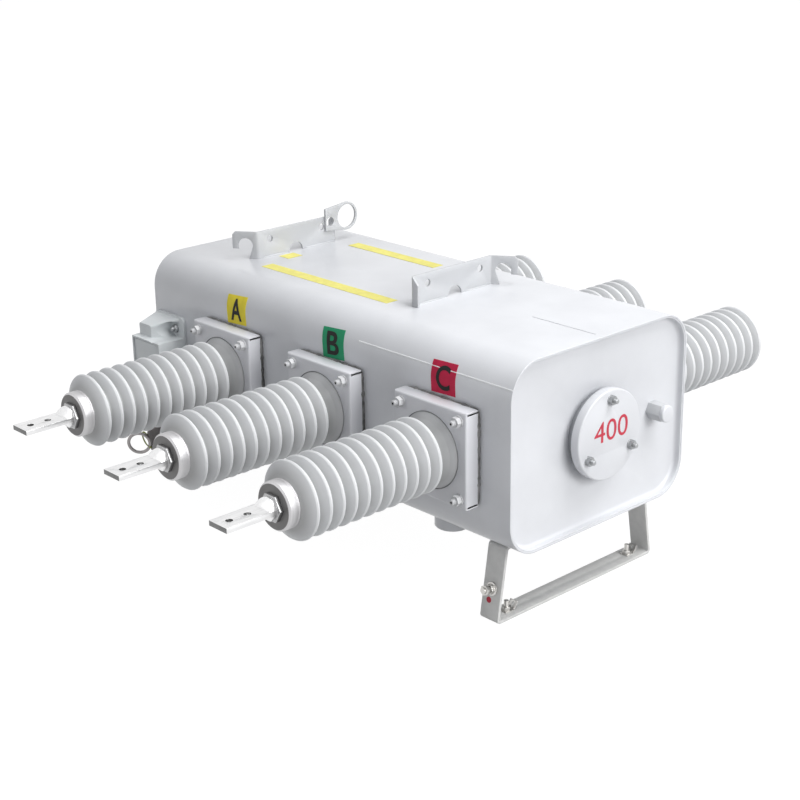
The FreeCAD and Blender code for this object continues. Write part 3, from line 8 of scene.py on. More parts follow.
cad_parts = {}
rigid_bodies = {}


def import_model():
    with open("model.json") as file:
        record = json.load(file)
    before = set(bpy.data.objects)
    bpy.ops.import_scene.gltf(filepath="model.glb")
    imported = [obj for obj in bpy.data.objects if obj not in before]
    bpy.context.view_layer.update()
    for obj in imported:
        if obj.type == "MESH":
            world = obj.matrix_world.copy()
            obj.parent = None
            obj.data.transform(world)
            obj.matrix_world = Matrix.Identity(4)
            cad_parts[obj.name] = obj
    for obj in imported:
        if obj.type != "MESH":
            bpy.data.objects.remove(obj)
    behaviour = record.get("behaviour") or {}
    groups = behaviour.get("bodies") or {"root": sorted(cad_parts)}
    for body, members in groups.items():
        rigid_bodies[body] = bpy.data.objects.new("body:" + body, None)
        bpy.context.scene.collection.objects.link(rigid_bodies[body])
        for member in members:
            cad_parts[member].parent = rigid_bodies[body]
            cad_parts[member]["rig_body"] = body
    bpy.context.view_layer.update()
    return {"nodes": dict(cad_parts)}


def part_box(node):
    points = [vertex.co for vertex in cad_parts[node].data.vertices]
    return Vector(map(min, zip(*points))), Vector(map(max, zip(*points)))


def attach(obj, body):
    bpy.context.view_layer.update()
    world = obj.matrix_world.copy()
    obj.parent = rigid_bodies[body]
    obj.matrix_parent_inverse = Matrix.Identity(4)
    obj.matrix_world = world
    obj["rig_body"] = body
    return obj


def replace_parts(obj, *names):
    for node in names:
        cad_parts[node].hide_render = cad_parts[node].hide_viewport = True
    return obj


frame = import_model()
nodes = frame["nodes"]

# The drawing frame, in millimetres: x = 0 at the middle phase, y = 0 in the tank's middle, z = 0 at
# the bushing axes. Its origin comes from the tank shell's box, in metres.
TANK_LEFT_TO_ORIGIN = 0.631
TANK_FLOOR_TO_ORIGIN = 0.195
tank_low, tank_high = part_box("tank_shell")
SHIFT = Vector((
    tank_low.x + TANK_LEFT_TO_ORIGIN, (tank_low.y + tank_high.y) / 2, tank_low.z + TANK_FLOOR_TO_ORIGIN,
))
MM = 0.001
PER_METRE = 1000
PHASE_PITCH = 330.0
PHASES = {"a": -PHASE_PITCH, "b": 0.0, "c": PHASE_PITCH}
SIDES = (("front", -1), ("rear", 1))
TANK_HALF_DEPTH = 261.0
TANK_TOP = 202.0
TANK_CORNER = 74.0


def place(x, y, z):
    """A point given in millimetres in the drawing frame, in metres in the model's frame."""
    return Vector((x, y, z)) * MM + SHIFT


def offset_from(point, phase_x):
    """Millimetres from a bushing's axis: across, along it from the tank's middle, and up."""
    point = (point - SHIFT) * PER_METRE
    return point.x - phase_x, abs(point.y), point.z


# Materials

def shader_of(material):
    return material.node_tree.nodes["Principled BSDF"]


def new_material(name, color, rough, metallic=0.0, **sockets):
    material = bpy.data.materials.new(name)
    material.use_nodes = True
    inputs = shader_of(material).inputs
    inputs["Base Color"].default_value = (*color, 1.0)
    inputs["Roughness"].default_value = rough
    inputs["Metallic"].default_value = metallic
    for key, value in sockets.items():
        inputs[key.replace("_", " ")].default_value = value
    return material


def node(material, kind, **values):
    made = material.node_tree.nodes.new(kind)
    for key, value in values.items():
        setattr(made, key, value)
    return made


def link(material, output, socket):
    material.node_tree.links.new(output, socket)


def object_position(material):
    return node(material, "ShaderNodeTexCoord").outputs["Object"]


def noise(material, scale, detail, stretch=(1, 1, 1)):
    mapping = node(material, "ShaderNodeMapping")
    mapping.inputs["Scale"].default_value = stretch
    texture = node(material, "ShaderNodeTexNoise")
    texture.inputs["Scale"].default_value = scale
    texture.inputs["Detail"].default_value = detail
    link(material, object_position(material), mapping.inputs["Vector"])
    link(material, mapping.outputs["Vector"], texture.inputs["Vector"])
    return texture.outputs["Fac"]


def vary_color(material, factor, low, high, span=(0.35, 0.65)):
    ramp = node(material, "ShaderNodeValToRGB")
    for element, position, color in zip(ramp.color_ramp.elements, span, (low, high)):
        element.position = position
        element.color = (*color, 1.0)
    link(material, factor, ramp.inputs["Fac"])
    link(material, ramp.outputs["Color"], shader_of(material).inputs["Base Color"])


def vary_roughness(material, factor, low, high):
    spread = node(material, "ShaderNodeMapRange")
    spread.inputs["To Min"].default_value = low
    spread.inputs["To Max"].default_value = high
    link(material, factor, spread.inputs["Value"])
    link(material, spread.outputs["Result"], shader_of(material).inputs["Roughness"])


def add_bump(material, factor, strength, distance=0.0002):
    bump = node(material, "ShaderNodeBump")
    bump.inputs["Strength"].default_value = strength
    bump.inputs["Distance"].default_value = distance
    link(material, factor, bump.inputs["Height"])
    link(material, bump.outputs["Normal"], shader_of(material).inputs["Normal"])


def scaled(color, share):
    return tuple(min(1, channel * share) for channel in color)


def paint(name, color, rough, spread=0.03):
    """Sprayed enamel: slight mottling, uneven gloss and a fine orange peel."""
    material = new_material(name, color, rough, Coat_Weight=0.25, Coat_Roughness=0.2)
    mottle = noise(material, scale=9.0, detail=4.0)
    vary_color(material, mottle, scaled(color, 1 - spread), scaled(color, 1 + spread))
    vary_roughness(material, noise(material, scale=30.0, detail=3.0), rough - 0.06, rough + 0.08)
    add_bump(material, noise(material, scale=420.0, detail=1.0), strength=0.25, distance=0.00025)
    return material


def metal(name, color, rough, scale=120.0, stretch=(1, 1, 1), bump=0.15):
    """Bare metal: cloudy tone, uneven gloss and fine tool marks, drawn out where it is stretched."""
    material = new_material(name, color, rough, metallic=1.0)
    clouds = noise(material, scale * 0.3, 4.0, stretch)
    vary_color(material, clouds, scaled(color, 0.9), color)
    gloss = noise(material, scale, 3.0, stretch)
    vary_roughness(material, gloss, max(rough - 0.08, 0.05), rough + 0.12)
    add_bump(material, noise(material, scale * 4, 2.0, stretch), bump)
    return material


def enamel_sign(name, color):
    """Flat sign enamel with a little unevenness and hardly any gloss."""
    material = new_material(name, color, 0.6, Specular_IOR_Level=0.2)
    vary_color(material, noise(material, scale=60.0, detail=3.0), scaled(color, 0.9), color)
    return material


def calculate(material, operation, first, *others):
    """A Math node on outputs or plain numbers."""
    made = node(material, "ShaderNodeMath", operation=operation)
    for socket, value in zip(made.inputs, (first, *others)):
        if isinstance(value, (int, float)):
            socket.default_value = value
        else:
            link(material, value, socket)
    return made.outputs[0]


def shed_polymer():
    """Moulded polymer with painted light: painted shade in the grooves between the sheds, a painted highlight
    on the rims, and the darkest painted shade on the neck behind them.
    """
    groove_radius, shed_rise = 0.053, 0.024
    groove_shade_color, rim_highlight_color = (0.45, 0.455, 0.455), (0.715, 0.725, 0.735)
    neck_end, first_shed, neck_shade_tone = 0.318, 0.334, 0.66
    mottle_depth = 0.16
    half_pitch = PHASE_PITCH / 2 * MM

    material = new_material("bushing_polymer", (0.6, 0.61, 0.61), 0.42)

    def math_node(operation, *values):
        return calculate(material, operation, *values)

    # Distance from the nearest bushing's axis, as a share of the sheds' rise
    split = node(material, "ShaderNodeSeparateXYZ")
    link(material, object_position(material), split.inputs[0])
    from_middle = math_node("SUBTRACT", split.outputs["X"], SHIFT.x)
    x = math_node("WRAP", from_middle, half_pitch, -half_pitch)
    z = math_node("SUBTRACT", split.outputs["Z"], SHIFT.z)
    x_squared = math_node("MULTIPLY", x, x)
    z_squared = math_node("MULTIPLY", z, z)
    radius = math_node("SQRT", math_node("ADD", x_squared, z_squared))
    rise = math_node("DIVIDE", math_node("SUBTRACT", radius, groove_radius), shed_rise)
    mottle = math_node("MULTIPLY", noise(material, scale=22.0, detail=4.0), mottle_depth)
    shade_and_mottle = math_node("ADD", rise, math_node("SUBTRACT", mottle, mottle_depth / 2))
    # Painted shade in the grooves and painted highlight on the rims, by distance from the axis, with a random
    # mottle
    vary_color(material, shade_and_mottle, groove_shade_color, rim_highlight_color, span=(0.0, 0.8))

    # Painted shade: a darker neck between the clamp plate and the first shed, where the sheds shade it
    reach = node(material, "ShaderNodeMapRange")
    reach.inputs["From Min"].default_value = neck_end
    reach.inputs["From Max"].default_value = first_shed
    reach.inputs["To Min"].default_value = neck_shade_tone
    neck_shade_node = node(material, "ShaderNodeHueSaturation")
    base_color = shader_of(material).inputs["Base Color"]
    along = math_node("ABSOLUTE", math_node("SUBTRACT", split.outputs["Y"], SHIFT.y))
    link(material, along, reach.inputs["Value"])
    link(material, reach.outputs["Result"], neck_shade_node.inputs["Value"])
    link(material, base_color.links[0].from_socket, neck_shade_node.inputs["Color"])
    link(material, neck_shade_node.outputs["Color"], base_color)

    vary_roughness(material, noise(material, scale=60.0, detail=3.0), 0.38, 0.54)
    add_bump(material, noise(material, scale=500.0, detail=1.0), strength=0.12)
    return material


weld_paint = paint("weld_enamel", (0.86, 0.87, 0.88), 0.34)
tank_paint = paint("tank_enamel", (0.66, 0.67, 0.695), 0.36)
plate_paint = paint("plate_enamel", (0.69, 0.695, 0.725), 0.4)
hanger_paint = paint("hanger_enamel", (0.53, 0.54, 0.555), 0.46)
fastener_paint = paint("painted_fastener", (0.60, 0.605, 0.615), 0.5, spread=0.1)
# Painted shade: the cover's neck is dark to stand for the shadow behind the cover
neck_painted_shade = paint("neck_enamel_painted_shade", (0.30, 0.31, 0.33), 0.5)
port_paint = paint("port_enamel", (0.52, 0.53, 0.545), 0.45)

bushing_polymer = shed_polymer()

ferrule_metal = metal("turned_ferrule", (0.57, 0.565, 0.575), 0.47, 90.0, (0.3, 12, 0.3), 0.1)
# The caps' end faces: a dark copy of the ferrule metal, as painted shade
ferrule_face_shade = metal("ferrule_face_painted_shade", (0.155, 0.153, 0.153), 0.42, 60.0)
tinned_copper = metal("tinned_copper", (0.85, 0.85, 0.855), 0.3, 140.0, (6, 0.6, 6), 0.12)
# Darker copper for the terminals' ends, and painted shade on the walls of their bolt holes
copper_end_and_hole_shade = metal("dark_copper_end_and_hole_shade", (0.185, 0.185, 0.185), 0.38, 90.0, (6, 6, 0.6), 0.2)
nut_metal = metal("plated_nut", (0.42, 0.42, 0.425), 0.3, 160.0)

leg_steel = new_material("dull_zinc_leg", (0.5, 0.5, 0.49), 0.48, metallic=0.1)
vary_color(leg_steel, noise(leg_steel, 55.0, 5.0), (0.61, 0.61, 0.60), (0.67, 0.67, 0.657))
vary_roughness(leg_steel, noise(leg_steel, 120.0, 3.0), 0.38, 0.6)
add_bump(leg_steel, noise(leg_steel, 260.0, 2.0), 0.2)

bolt_steel = metal("bolt_steel", (0.60, 0.59, 0.57), 0.32, 220.0)
cast_bolt = metal("dull_bolt", (0.42, 0.43, 0.44), 0.42, 220.0)
cast_paint = paint("cast_grey", (0.66, 0.69, 0.70), 0.45, spread=0.05)

dark_lever = new_material("dark_lever", (0.24, 0.22, 0.22), 0.5)
vary_color(dark_lever, noise(dark_lever, 45.0, 4.0), (0.19, 0.175, 0.175), (0.28, 0.258, 0.255))
add_bump(dark_lever, noise(dark_lever, 300.0, 2.0), 0.2)

ring_steel = metal("ring_steel", (0.30, 0.285, 0.285), 0.42, 160.0)

# Black rubber for the gaskets, also used as painted shade inside the clamp plates' folds and slits and in the
# studs' end recesses
black_rubber_and_shade = new_material("black_rubber_and_shade", (0.02, 0.02, 0.02), 0.6)
add_bump(black_rubber_and_shade, noise(black_rubber_and_shade, 300.0, 2.0), 0.2)

# Sealant, made dark as painted shade of the gap between the clamp plates' folds and the tank wall
sealant_and_shade = new_material("sealant_and_shade", (0.26, 0.26, 0.255), 0.55)
vary_color(sealant_and_shade, noise(sealant_and_shade, 40.0, 3.0), (0.07, 0.07, 0.07), (0.22, 0.22, 0.215))

bronze = metal("bearing_bronze", (0.55, 0.38, 0.2), 0.35)

resin = new_material("insulating_resin", (0.36, 0.19, 0.08), 0.35)
vary_color(resin, noise(resin, 20.0, 4.0, (0.3, 3, 3)), (0.3, 0.15, 0.06), (0.42, 0.23, 0.1))

silvered = metal("silvered_copper", (0.78, 0.66, 0.56), 0.28)

sign_yellow = enamel_sign("sign_yellow", (0.86, 0.72, 0.06))
sign_green = enamel_sign("sign_green", (0.025, 0.32, 0.15))
sign_red = enamel_sign("sign_red", (0.58, 0.02, 0.07))
strip_yellow = enamel_sign("strip_yellow", (0.82, 0.76, 0.22))
letter_black = enamel_sign("letter_black", (0.015, 0.015, 0.015))
number_red = enamel_sign("number_red", (0.55, 0.055, 0.085))
cord_green = enamel_sign("cord_green", (0.45, 0.51, 0.13))


# Mesh helpers

def link_mesh(name, mesh, material, body, smooth_angle):
    """An object made of a mesh, smooth except over an angle in degrees, that rides on a body."""
    made = bpy.data.objects.new(name, mesh)
    bpy.context.scene.collection.objects.link(made)
    mesh.materials.clear()
    mesh.materials.append(material)
    mesh.polygons.foreach_set("use_smooth", [True] * len(mesh.polygons))
    mesh.set_sharp_from_angle(angle=math.radians(smooth_angle))
    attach(made, body)
    return made


def piece_from(bm, name, material, body="tank", smooth_angle=30.0):
    """Turns built geometry into a visible piece."""
    bmesh.ops.recalc_face_normals(bm, faces=bm.faces)
    mesh = bpy.data.meshes.new(name)
    bm.to_mesh(mesh)
    bm.free()
    return link_mesh(name, mesh, material, body, smooth_angle)


def second_material(made, material, chosen):
    """Gives a second material to the faces that a test picks."""
    made.data.materials.append(material)
    for face in made.data.polygons:
        if chosen(face):
            face.material_index = 1


def rounded_profile(points, steps):
    """Rounds the corners of a polyline given as (along, radius, corner radius)."""
    result = []
    for i, (a, r, fillet) in enumerate(points):
        corner = Vector((a, r))
        if fillet <= 0 or i in (0, len(points) - 1):
            result.append(corner)
            continue
        before = Vector(points[i - 1][:2]) - corner
        after = Vector(points[i + 1][:2]) - corner
        inner = before.angle(after)
        reach = min(fillet / math.tan(inner / 2), before.length * 0.49, after.length * 0.49)
        start = corner + before.normalized() * reach
        end = corner + after.normalized() * reach
        for k in range(steps + 1):
            t = k / steps
            result.append(start * (1 - t) ** 2 + corner * 2 * t * (1 - t) + end * t**2)
    return result


def directions(axis):
    """A unit axis and two unit directions square to it and to each other."""
    axis = Vector(axis).normalized()
    side = axis.orthogonal().normalized()
    return axis, side, axis.cross(side)


def ring_into(bm, centre, side, other, radius, count, start=0.0):
    """Adds a ring of vertices. Its radius is a number or depends on the angle; both in millimetres."""
    ring = []
    for k in range(count):
        turn = 2 * math.pi * k / count + start
        reach = radius(turn) if callable(radius) else radius
        point = centre + (side * math.cos(turn) + other * math.sin(turn)) * reach
        ring.append(bm.verts.new(place(*point)))
    return ring


def bridge(bm, rings):
    """Adds the faces between each ring and the next. A ring of one vertex is a tip."""
    for low, high in zip(rings, rings[1:]):
        count = max(len(low), len(high))
        for k in range(count):
            n = (k + 1) % count
            if len(low) == 1:
                bm.faces.new((low[0], high[k], high[n]))
            elif len(high) == 1:
                bm.faces.new((low[k], high[0], low[n]))
            else:
                bm.faces.new((low[k], low[n], high[n], high[k]))


def close_ends(bm, rings):
    bm.faces.new(rings[0])
    bm.faces.new(rings[-1])


def lathe_into(bm, profile, centre, axis, segments):
    """Adds a turned surface: profile holds (along, radius) in millimetres from a centre."""
    axis, side, other = directions(axis)
    rings = []
    for along, radius in profile:
        base = Vector(centre) + axis * along
        if radius < 1e-6:
            rings.append([bm.verts.new(place(*base))])
        else:
            rings.append(ring_into(bm, base, side, other, radius, segments))
    bridge(bm, rings)


def hex_nut_into(bm, centre, axis, flats, thickness, bore, start):
    """Adds a hexagonal nut with chamfered corners on both faces."""
    axis, side, other = directions(axis)
    points = 24
    chamfer, chamfered_share = thickness * 0.13, 0.93
    corner_radius = flats / math.sqrt(3)

    def hexagon(turn):
        inner = (turn - start) % (math.pi / 3) - math.pi / 6
        return corner_radius * math.cos(math.pi / 6) / math.cos(inner)

    def chamfered(turn):
        return min(hexagon(turn), flats / 2 * 1.155 * chamfered_share)

    rings = []
    for along, radius in (
        (0, chamfered), (chamfer, hexagon), (thickness - chamfer, hexagon), (thickness, chamfered),
        (thickness, bore), (0, bore),
    ):
        rings.append(ring_into(bm, Vector(centre) + axis * along, side, other, radius, points, start))
    bridge(bm, rings + rings[:1])


ROUND_SIDES = 8  # sides of a bead or a cord


def bead_into(bm, start, end, radius, rng, step, ripple, uneven):
    """Adds a rippled bead between two points, with thinner ends."""
    start, end = Vector(start), Vector(end)
    _, side, other = directions(end - start)
    steps = max(6, int((end - start).length / step))
    rings = []
    for i in range(steps + 1):
        share = i / steps
        taper = min(1.0, 6 * share + 0.45, 6 * (1 - share) + 0.45)
        girth = radius * taper * (1 - ripple + ripple * math.sin(i * 2.2) + rng.uniform(-uneven, uneven))
        rings.append(ring_into(bm, start.lerp(end, share), side, other, girth, ROUND_SIDES))
    bridge(bm, rings)
    close_ends(bm, rings)


def threaded_end(start, end, radius, pitch=1.75):
    """Profile of a stud from start to end with thread ridges and a chamfered tip."""
    depth, tip = 0.9, 1.2
    profile = [(start, radius)]
    along = start
    while along + pitch < end - tip:
        profile.append((along + pitch * 0.15, radius))
        profile.append((along + pitch * 0.5, radius - depth))
        profile.append((along + pitch * 0.85, radius))
        along += pitch
    profile += [(end - tip, radius), (end, radius - tip)]
    return profile


HARD_ANGLE = math.radians(32.0)
FLAT_ANGLE = math.radians(0.6)


def fine(name, material, bevel, segments=2, adjust=None):
    """A CAD node's own form with its hard edges softened, which replaces the node."""
    source = nodes[name]
    bm = bmesh.new()
    bm.from_mesh(source.data)
    bmesh.ops.remove_doubles(bm, verts=bm.verts, dist=1e-6)
    bmesh.ops.dissolve_limit(bm, angle_limit=FLAT_ANGLE, verts=bm.verts, edges=bm.edges)
    if adjust:
        for vert in bm.verts:
            adjust(vert)
    hard = [e for e in bm.edges if len(e.link_faces) == 2 and e.calc_face_angle(0) > HARD_ANGLE]
    bmesh.ops.bevel(
        bm, geom=hard, offset=bevel * MM, offset_type="OFFSET", segments=segments, profile=0.5,
        affect="EDGES", clamp_overlap=True,
    )
    bmesh.ops.triangulate(bm, faces=[f for f in bm.faces if len(f.verts) > 4])
    mesh = bpy.data.meshes.new(name + "_fine")
    bm.to_mesh(mesh)
    bm.free()
    made = link_mesh(name + "_fine", mesh, material, source["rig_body"], 40.0)
    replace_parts(made, name)
    return made


def recolor(material, *names):
    for name in names:
        source = nodes[name]
        source.data.materials.clear()
        source.data.materials.append(material)


# Bushings: rounded sheds on a straight root, a flared neck and a moulded flange. The rear ones have
# one shed more. Each point is (along the axis from the tank's middle, radius, corner radius).
BUSHINGS = {"front": (11, 660.0), "rear": (12, 690.2)}  # number of sheds, end of the moulding
CONDUCTOR_RADIUS = 15
FLANGE_AND_NECK = [
    (150, CONDUCTOR_RADIUS, 0), (150, 32, 2), (236, 60, 4), (265, 60, 1), (265, 90, 1), (296, 90, 1),
    (296, 77.2, 0.6), (300.5, 76.6, 2.5), (309.0, 66.0, 9.0),
]
# One shed with the groove before it, from the shed's middle
SHED = [(-17.4, 54.0, 3.5), (-12.4, 54.0, 3.5), (-3.6, 75.2, 3.0), (0.0, 77.2, 2.4), (3.4, 75.0, 3.0)]
FIRST_SHED = 341.0
SHED_PITCH = 30.2


def bushing_profile(shed_count, end):
    points = list(FLANGE_AND_NECK)
    for number in range(shed_count):
        centre = FIRST_SHED + SHED_PITCH * number
        points += [(centre + along, radius, fillet) for along, radius, fillet in SHED]
    points += [(end, 47.5, 0.5), (end, CONDUCTOR_RADIUS, 0)]
    return rounded_profile(points, 5)


for side, way in SIDES:
    profile = bushing_profile(*BUSHINGS[side])
    for phase, x in PHASES.items():
        bm = bmesh.new()
        lathe_into(bm, profile, (x, 0, 0), (0, way, 0), 88)
        name = "bushing_%s_%s" % (side, phase)
        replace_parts(piece_from(bm, name + "_fine", bushing_polymer, smooth_angle=50.0), name)

# End caps: long front ones with a turned groove, short plain rear ones, and a darker face on each as painted
# shade
FRONT_CAP = [
    (660, 15, 0), (660, 47, 0.4), (663, 47, 0.4), (663.6, 46.3, 0.3), (664.6, 46.3, 0.3),
    (665.2, 47, 0.4), (681.5, 47, 0.8), (685, 43.5, 0.8), (685, 15, 0), (660, 15, 0),
]
REAR_CAP = [
    (690.2, 15, 0), (690.2, 47, 0.4), (696.7, 47, 0.8), (700.2, 43.5, 0.8), (700.2, 15, 0),
    (690.2, 15, 0),
]
SQUARE_ON = 0.98  # a face's normal along an axis from which the face counts as square to it
bm = bmesh.new()
for way, outline in ((-1, FRONT_CAP), (1, REAR_CAP)):
    for x in PHASES.values():
        lathe_into(bm, rounded_profile(outline, 3), (x, 0, 0), (0, way, 0), 72)


def cap_face(face):
    _, along, _ = offset_from(face.center, 0)
    return abs(face.normal.y) > SQUARE_ON and (684 < along < 686 or along > 699)


made = piece_from(bm, "ferrules_fine", ferrule_metal, smooth_angle=40.0)
# The caps' end faces get the dark copy of the metal as painted shade
second_material(made, ferrule_face_shade, cap_face)
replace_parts(made, "ferrules")


# Flat terminals and clamp plates, with darker terminal ends, and painted shade on the front terminals' bolt
# hole walls and inside the clamp plates' folds and slits
CLAMP_FACE = 299  # a clamp plate's outer face, from the tank's middle
PLATE_INSIDE = 96  # half the width between its folds
SLIT_OPENING = 1.9


def dark_copper_face(side, phase_x):
    """Picks a terminal's end, which is darker, and the walls of the bolt holes of a front one, which get
    painted shade.
    """
    def chosen(face):
        x, along, z = offset_from(face.center, phase_x)
        flat_end = abs(face.normal.y) > SQUARE_ON and along > 690
        within_holes = 740 < along < 800 and abs(x) < 8 and abs(z) < 5.5
        return flat_end or (side == "front" and within_holes and abs(face.normal.z) < 0.2)
    return chosen


def open_slit(phase_x):
    """Opens the slits below a clamp plate's top fold and above its bottom fold."""
    def adjust(vert):
        x, _, z = offset_from(vert.co, phase_x)
        if abs(x) > PLATE_INSIDE - 0.5 and 94 < abs(z) < 95:
            vert.co.z -= math.copysign(SLIT_OPENING * MM, z)
    return adjust


def painted_shade_faces(phase_x):
    """Picks the faces inside a clamp plate's folds and in the slits between them, which are made black as
    painted shade.
    """
    def chosen(face):
        x, along, z = offset_from(face.center, phase_x)
        inside = max(abs(x), abs(z)) < PLATE_INSIDE + 0.3 and along < CLAMP_FACE - 0.3
        in_slit = abs(x) > PLATE_INSIDE and 91 < abs(z) < PLATE_INSIDE + 0.2
        return inside or (in_slit and abs(face.normal.z) > 0.7)
    return chosen


for side, _ in SIDES:
    for phase, x in PHASES.items():
        made = fine("terminal_%s_%s" % (side, phase), tinned_copper, 0.8)
        second_material(made, copper_end_and_hole_shade, dark_copper_face(side, x))
        made = fine("clamp_plate_%s_%s" % (side, phase), plate_paint, 0.5, adjust=open_slit(x))
        # Black inside the folds and in the slits, as painted shade
        second_material(made, black_rubber_and_shade, painted_shade_faces(x))
fine("terminal_nuts", nut_metal, 0.9)

# Clamp studs, washers and nuts; distances along the bushing's axis from the tank's middle
STUD_REACH = 80
STUD_RADIUS = 6
WASHER_TOP = 301.5
NUT_HEIGHT = 10
STUD_END = 320.5
RECESS_RADIUS = 2.5
CLAMP_WASHER = [
    (CLAMP_FACE, 6.2), (CLAMP_FACE, 12), (WASHER_TOP - 0.3, 12), (WASHER_TOP, 11.5), (WASHER_TOP, 6.2),
]
CLAMP_STUD = [(TANK_HALF_DEPTH, 0), (TANK_HALF_DEPTH, STUD_RADIUS)]
CLAMP_STUD += threaded_end(WASHER_TOP + NUT_HEIGHT, STUD_END, STUD_RADIUS)
CLAMP_STUD += [(STUD_END, RECESS_RADIUS), (STUD_END - 2, RECESS_RADIUS - 0.3), (STUD_END - 2, 0)]


def stud_recess(face):
    """Picks the recess in a stud's end, made black as painted shade."""
    x, along, z = offset_from(face.center, 0)
    across = min(abs(abs(x - phase_x) - STUD_REACH) for phase_x in PHASES.values())
    return math.hypot(across, abs(z) - STUD_REACH) < RECESS_RADIUS + 0.1 and along > STUD_END - 2.5


for side, way in SIDES:
    axis = (0, way, 0)
    bm = bmesh.new()
    for x in PHASES.values():
        for dx in (-STUD_REACH, STUD_REACH):
            for dz in (-STUD_REACH, STUD_REACH):
                centre = (x + dx, 0, dz)
                lathe_into(bm, CLAMP_WASHER, centre, axis, 28)
                turn = random.Random("%d%d%d" % (x, dx, dz)).random()
                nut_centre = Vector(centre) + Vector(axis) * WASHER_TOP
                hex_nut_into(bm, nut_centre, axis, 19, NUT_HEIGHT, STUD_RADIUS + 0.05, turn)
                lathe_into(bm, CLAMP_STUD, centre, axis, 20)
    name = "clamp_fasteners_" + side
    made = piece_from(bm, name + "_fine", fastener_paint)
    second_material(made, black_rubber_and_shade, stud_recess)
    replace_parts(made, name)

# Cover fasteners; distances along x from the cover's face
COVER_FRONT = 529.0
COVER_RISE = 3.0
COVER_STUD_CIRCLE = 73.5
COVER_WASHER = [(0, 5.2), (0, 10), (1.7, 10), (2, 9.6), (2, 5.2)]
COVER_STUD = [(-36, 0), (-36, 5)] + threaded_end(10, 18, 5, 1.5) + [(18, 0)]
outward = Vector((1, 0, 0))
bm = bmesh.new()
for number in range(3):
    angle = math.radians(90 + 120 * number)
    across, up = COVER_STUD_CIRCLE * math.cos(angle), COVER_STUD_CIRCLE * math.sin(angle)
    centre = Vector((COVER_FRONT, across, COVER_RISE + up))
    lathe_into(bm, COVER_WASHER, centre, outward, 28)
    hex_nut_into(bm, centre + outward * 2, outward, 17, 8, 5.05, 0.3 + number)
    lathe_into(bm, COVER_STUD, centre, outward, 20)
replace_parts(piece_from(bm, "cover_fasteners_fine", cast_bolt), "cover_fasteners")

# The remaining visible nodes keep the CAD form, with softened edges: material, bevel in millimetres,
# bevel segments, names
for material, bevel, segments, names in (
    (tank_paint, 0.8, 2, (
        "tank_shell", "end_plate_left", "end_plate_right", "round_cover", "relief_housing",
        "mechanism_plate", "mechanism_cover",
    )),
    (port_paint, 0.8, 2, ("gas_fill_port",)),
    (tank_paint, 0.8, 2, ("gas_fill_cap",)),
    (neck_painted_shade, 0.8, 2, ("cover_neck",)),
    (hanger_paint, 0.6, 2, ("hanger_left", "hanger_right", "lifting_eye")),
    (leg_steel, 0.6, 2, ("leg_frame_left", "leg_frame_right")),
    (cast_bolt, 0.5, 2, ("connector_bolts",)),
    (bolt_steel, 0.5, 2, ("leg_fasteners", "earth_bolt", "mechanism_screws", "lever_nut")),
    (cast_paint, 1.6, 3, ("connector_housing",)),
    (cast_paint, 1.0, 2, ("connector_cap",)),
    (dark_lever, 0.7, 2, ("operating_lever", "lever_shaft")),
):
    for name in names:
        fine(name, material, bevel, segments)

# Nodes that stay as they are, in a better material
recolor(ring_steel, "pull_rings")
recolor(black_rubber_and_shade, "gaskets")
recolor(bronze, "shaft_bearings", "lever_bearings")
recolor(resin, "main_shaft", "blade_hubs")
recolor(silvered, "moving_blade_a", "moving_blade_b", "moving_blade_c", "fixed_contacts")
recolor(bolt_steel, "lever_crank", "main_crank", "drive_link")


# Phase plates and the weld seam follow the tank's rounded front corner

def on_front(x, s, proud):
    """A point on the tank's front: s runs up the flat wall, is 0 at its top, and goes on round the corner."""
    flat = TANK_TOP - TANK_CORNER
    if s <= 0:
        return place(x, -(TANK_HALF_DEPTH + proud), flat + s)
    turn = s / TANK_CORNER
    reach = TANK_CORNER + proud
    depth = TANK_HALF_DEPTH - TANK_CORNER + reach * math.cos(turn)
    return place(x, -depth, flat + reach * math.sin(turn))


def tilted(centre, dx, ds, tilt):
    """Where a point of a plate comes when the plate is turned by a tilt in degrees."""
    slope = math.radians(tilt)
    x = centre[0] + dx * math.cos(slope) - ds * math.sin(slope)
    return x, centre[1] + dx * math.sin(slope) + ds * math.cos(slope)


def draped_plate(name, centre, size, tilt, thickness, material):
    """A thin plate laid on the tank's front surface."""
    bm = bmesh.new()
    columns, rows = 6, 20
    layers = []
    for proud in (0.05, thickness):
        grid = []
        for j in range(rows + 1):
            line = []
            for i in range(columns + 1):
                dx, ds = (i / columns - 0.5) * size[0], (j / rows - 0.5) * size[1]
                line.append(bm.verts.new(on_front(*tilted(centre, dx, ds, tilt), proud)))
            grid.append(line)
        layers.append(grid)
    for grid in layers:
        for j in range(rows):
            for i in range(columns):
                bm.faces.new((grid[j][i], grid[j][i + 1], grid[j + 1][i + 1], grid[j + 1][i]))
    low, high = layers
    border = [(0, i) for i in range(columns)] + [(j, columns) for j in range(rows)]
    border += [(rows, i) for i in range(columns, 0, -1)] + [(j, 0) for j in range(rows, 0, -1)]
    for (j1, i1), (j2, i2) in zip(border, border[1:] + border[:1]):
        bm.faces.new((low[j1][i1], low[j2][i2], high[j2][i2], high[j1][i1]))
    piece_from(bm, name, material)


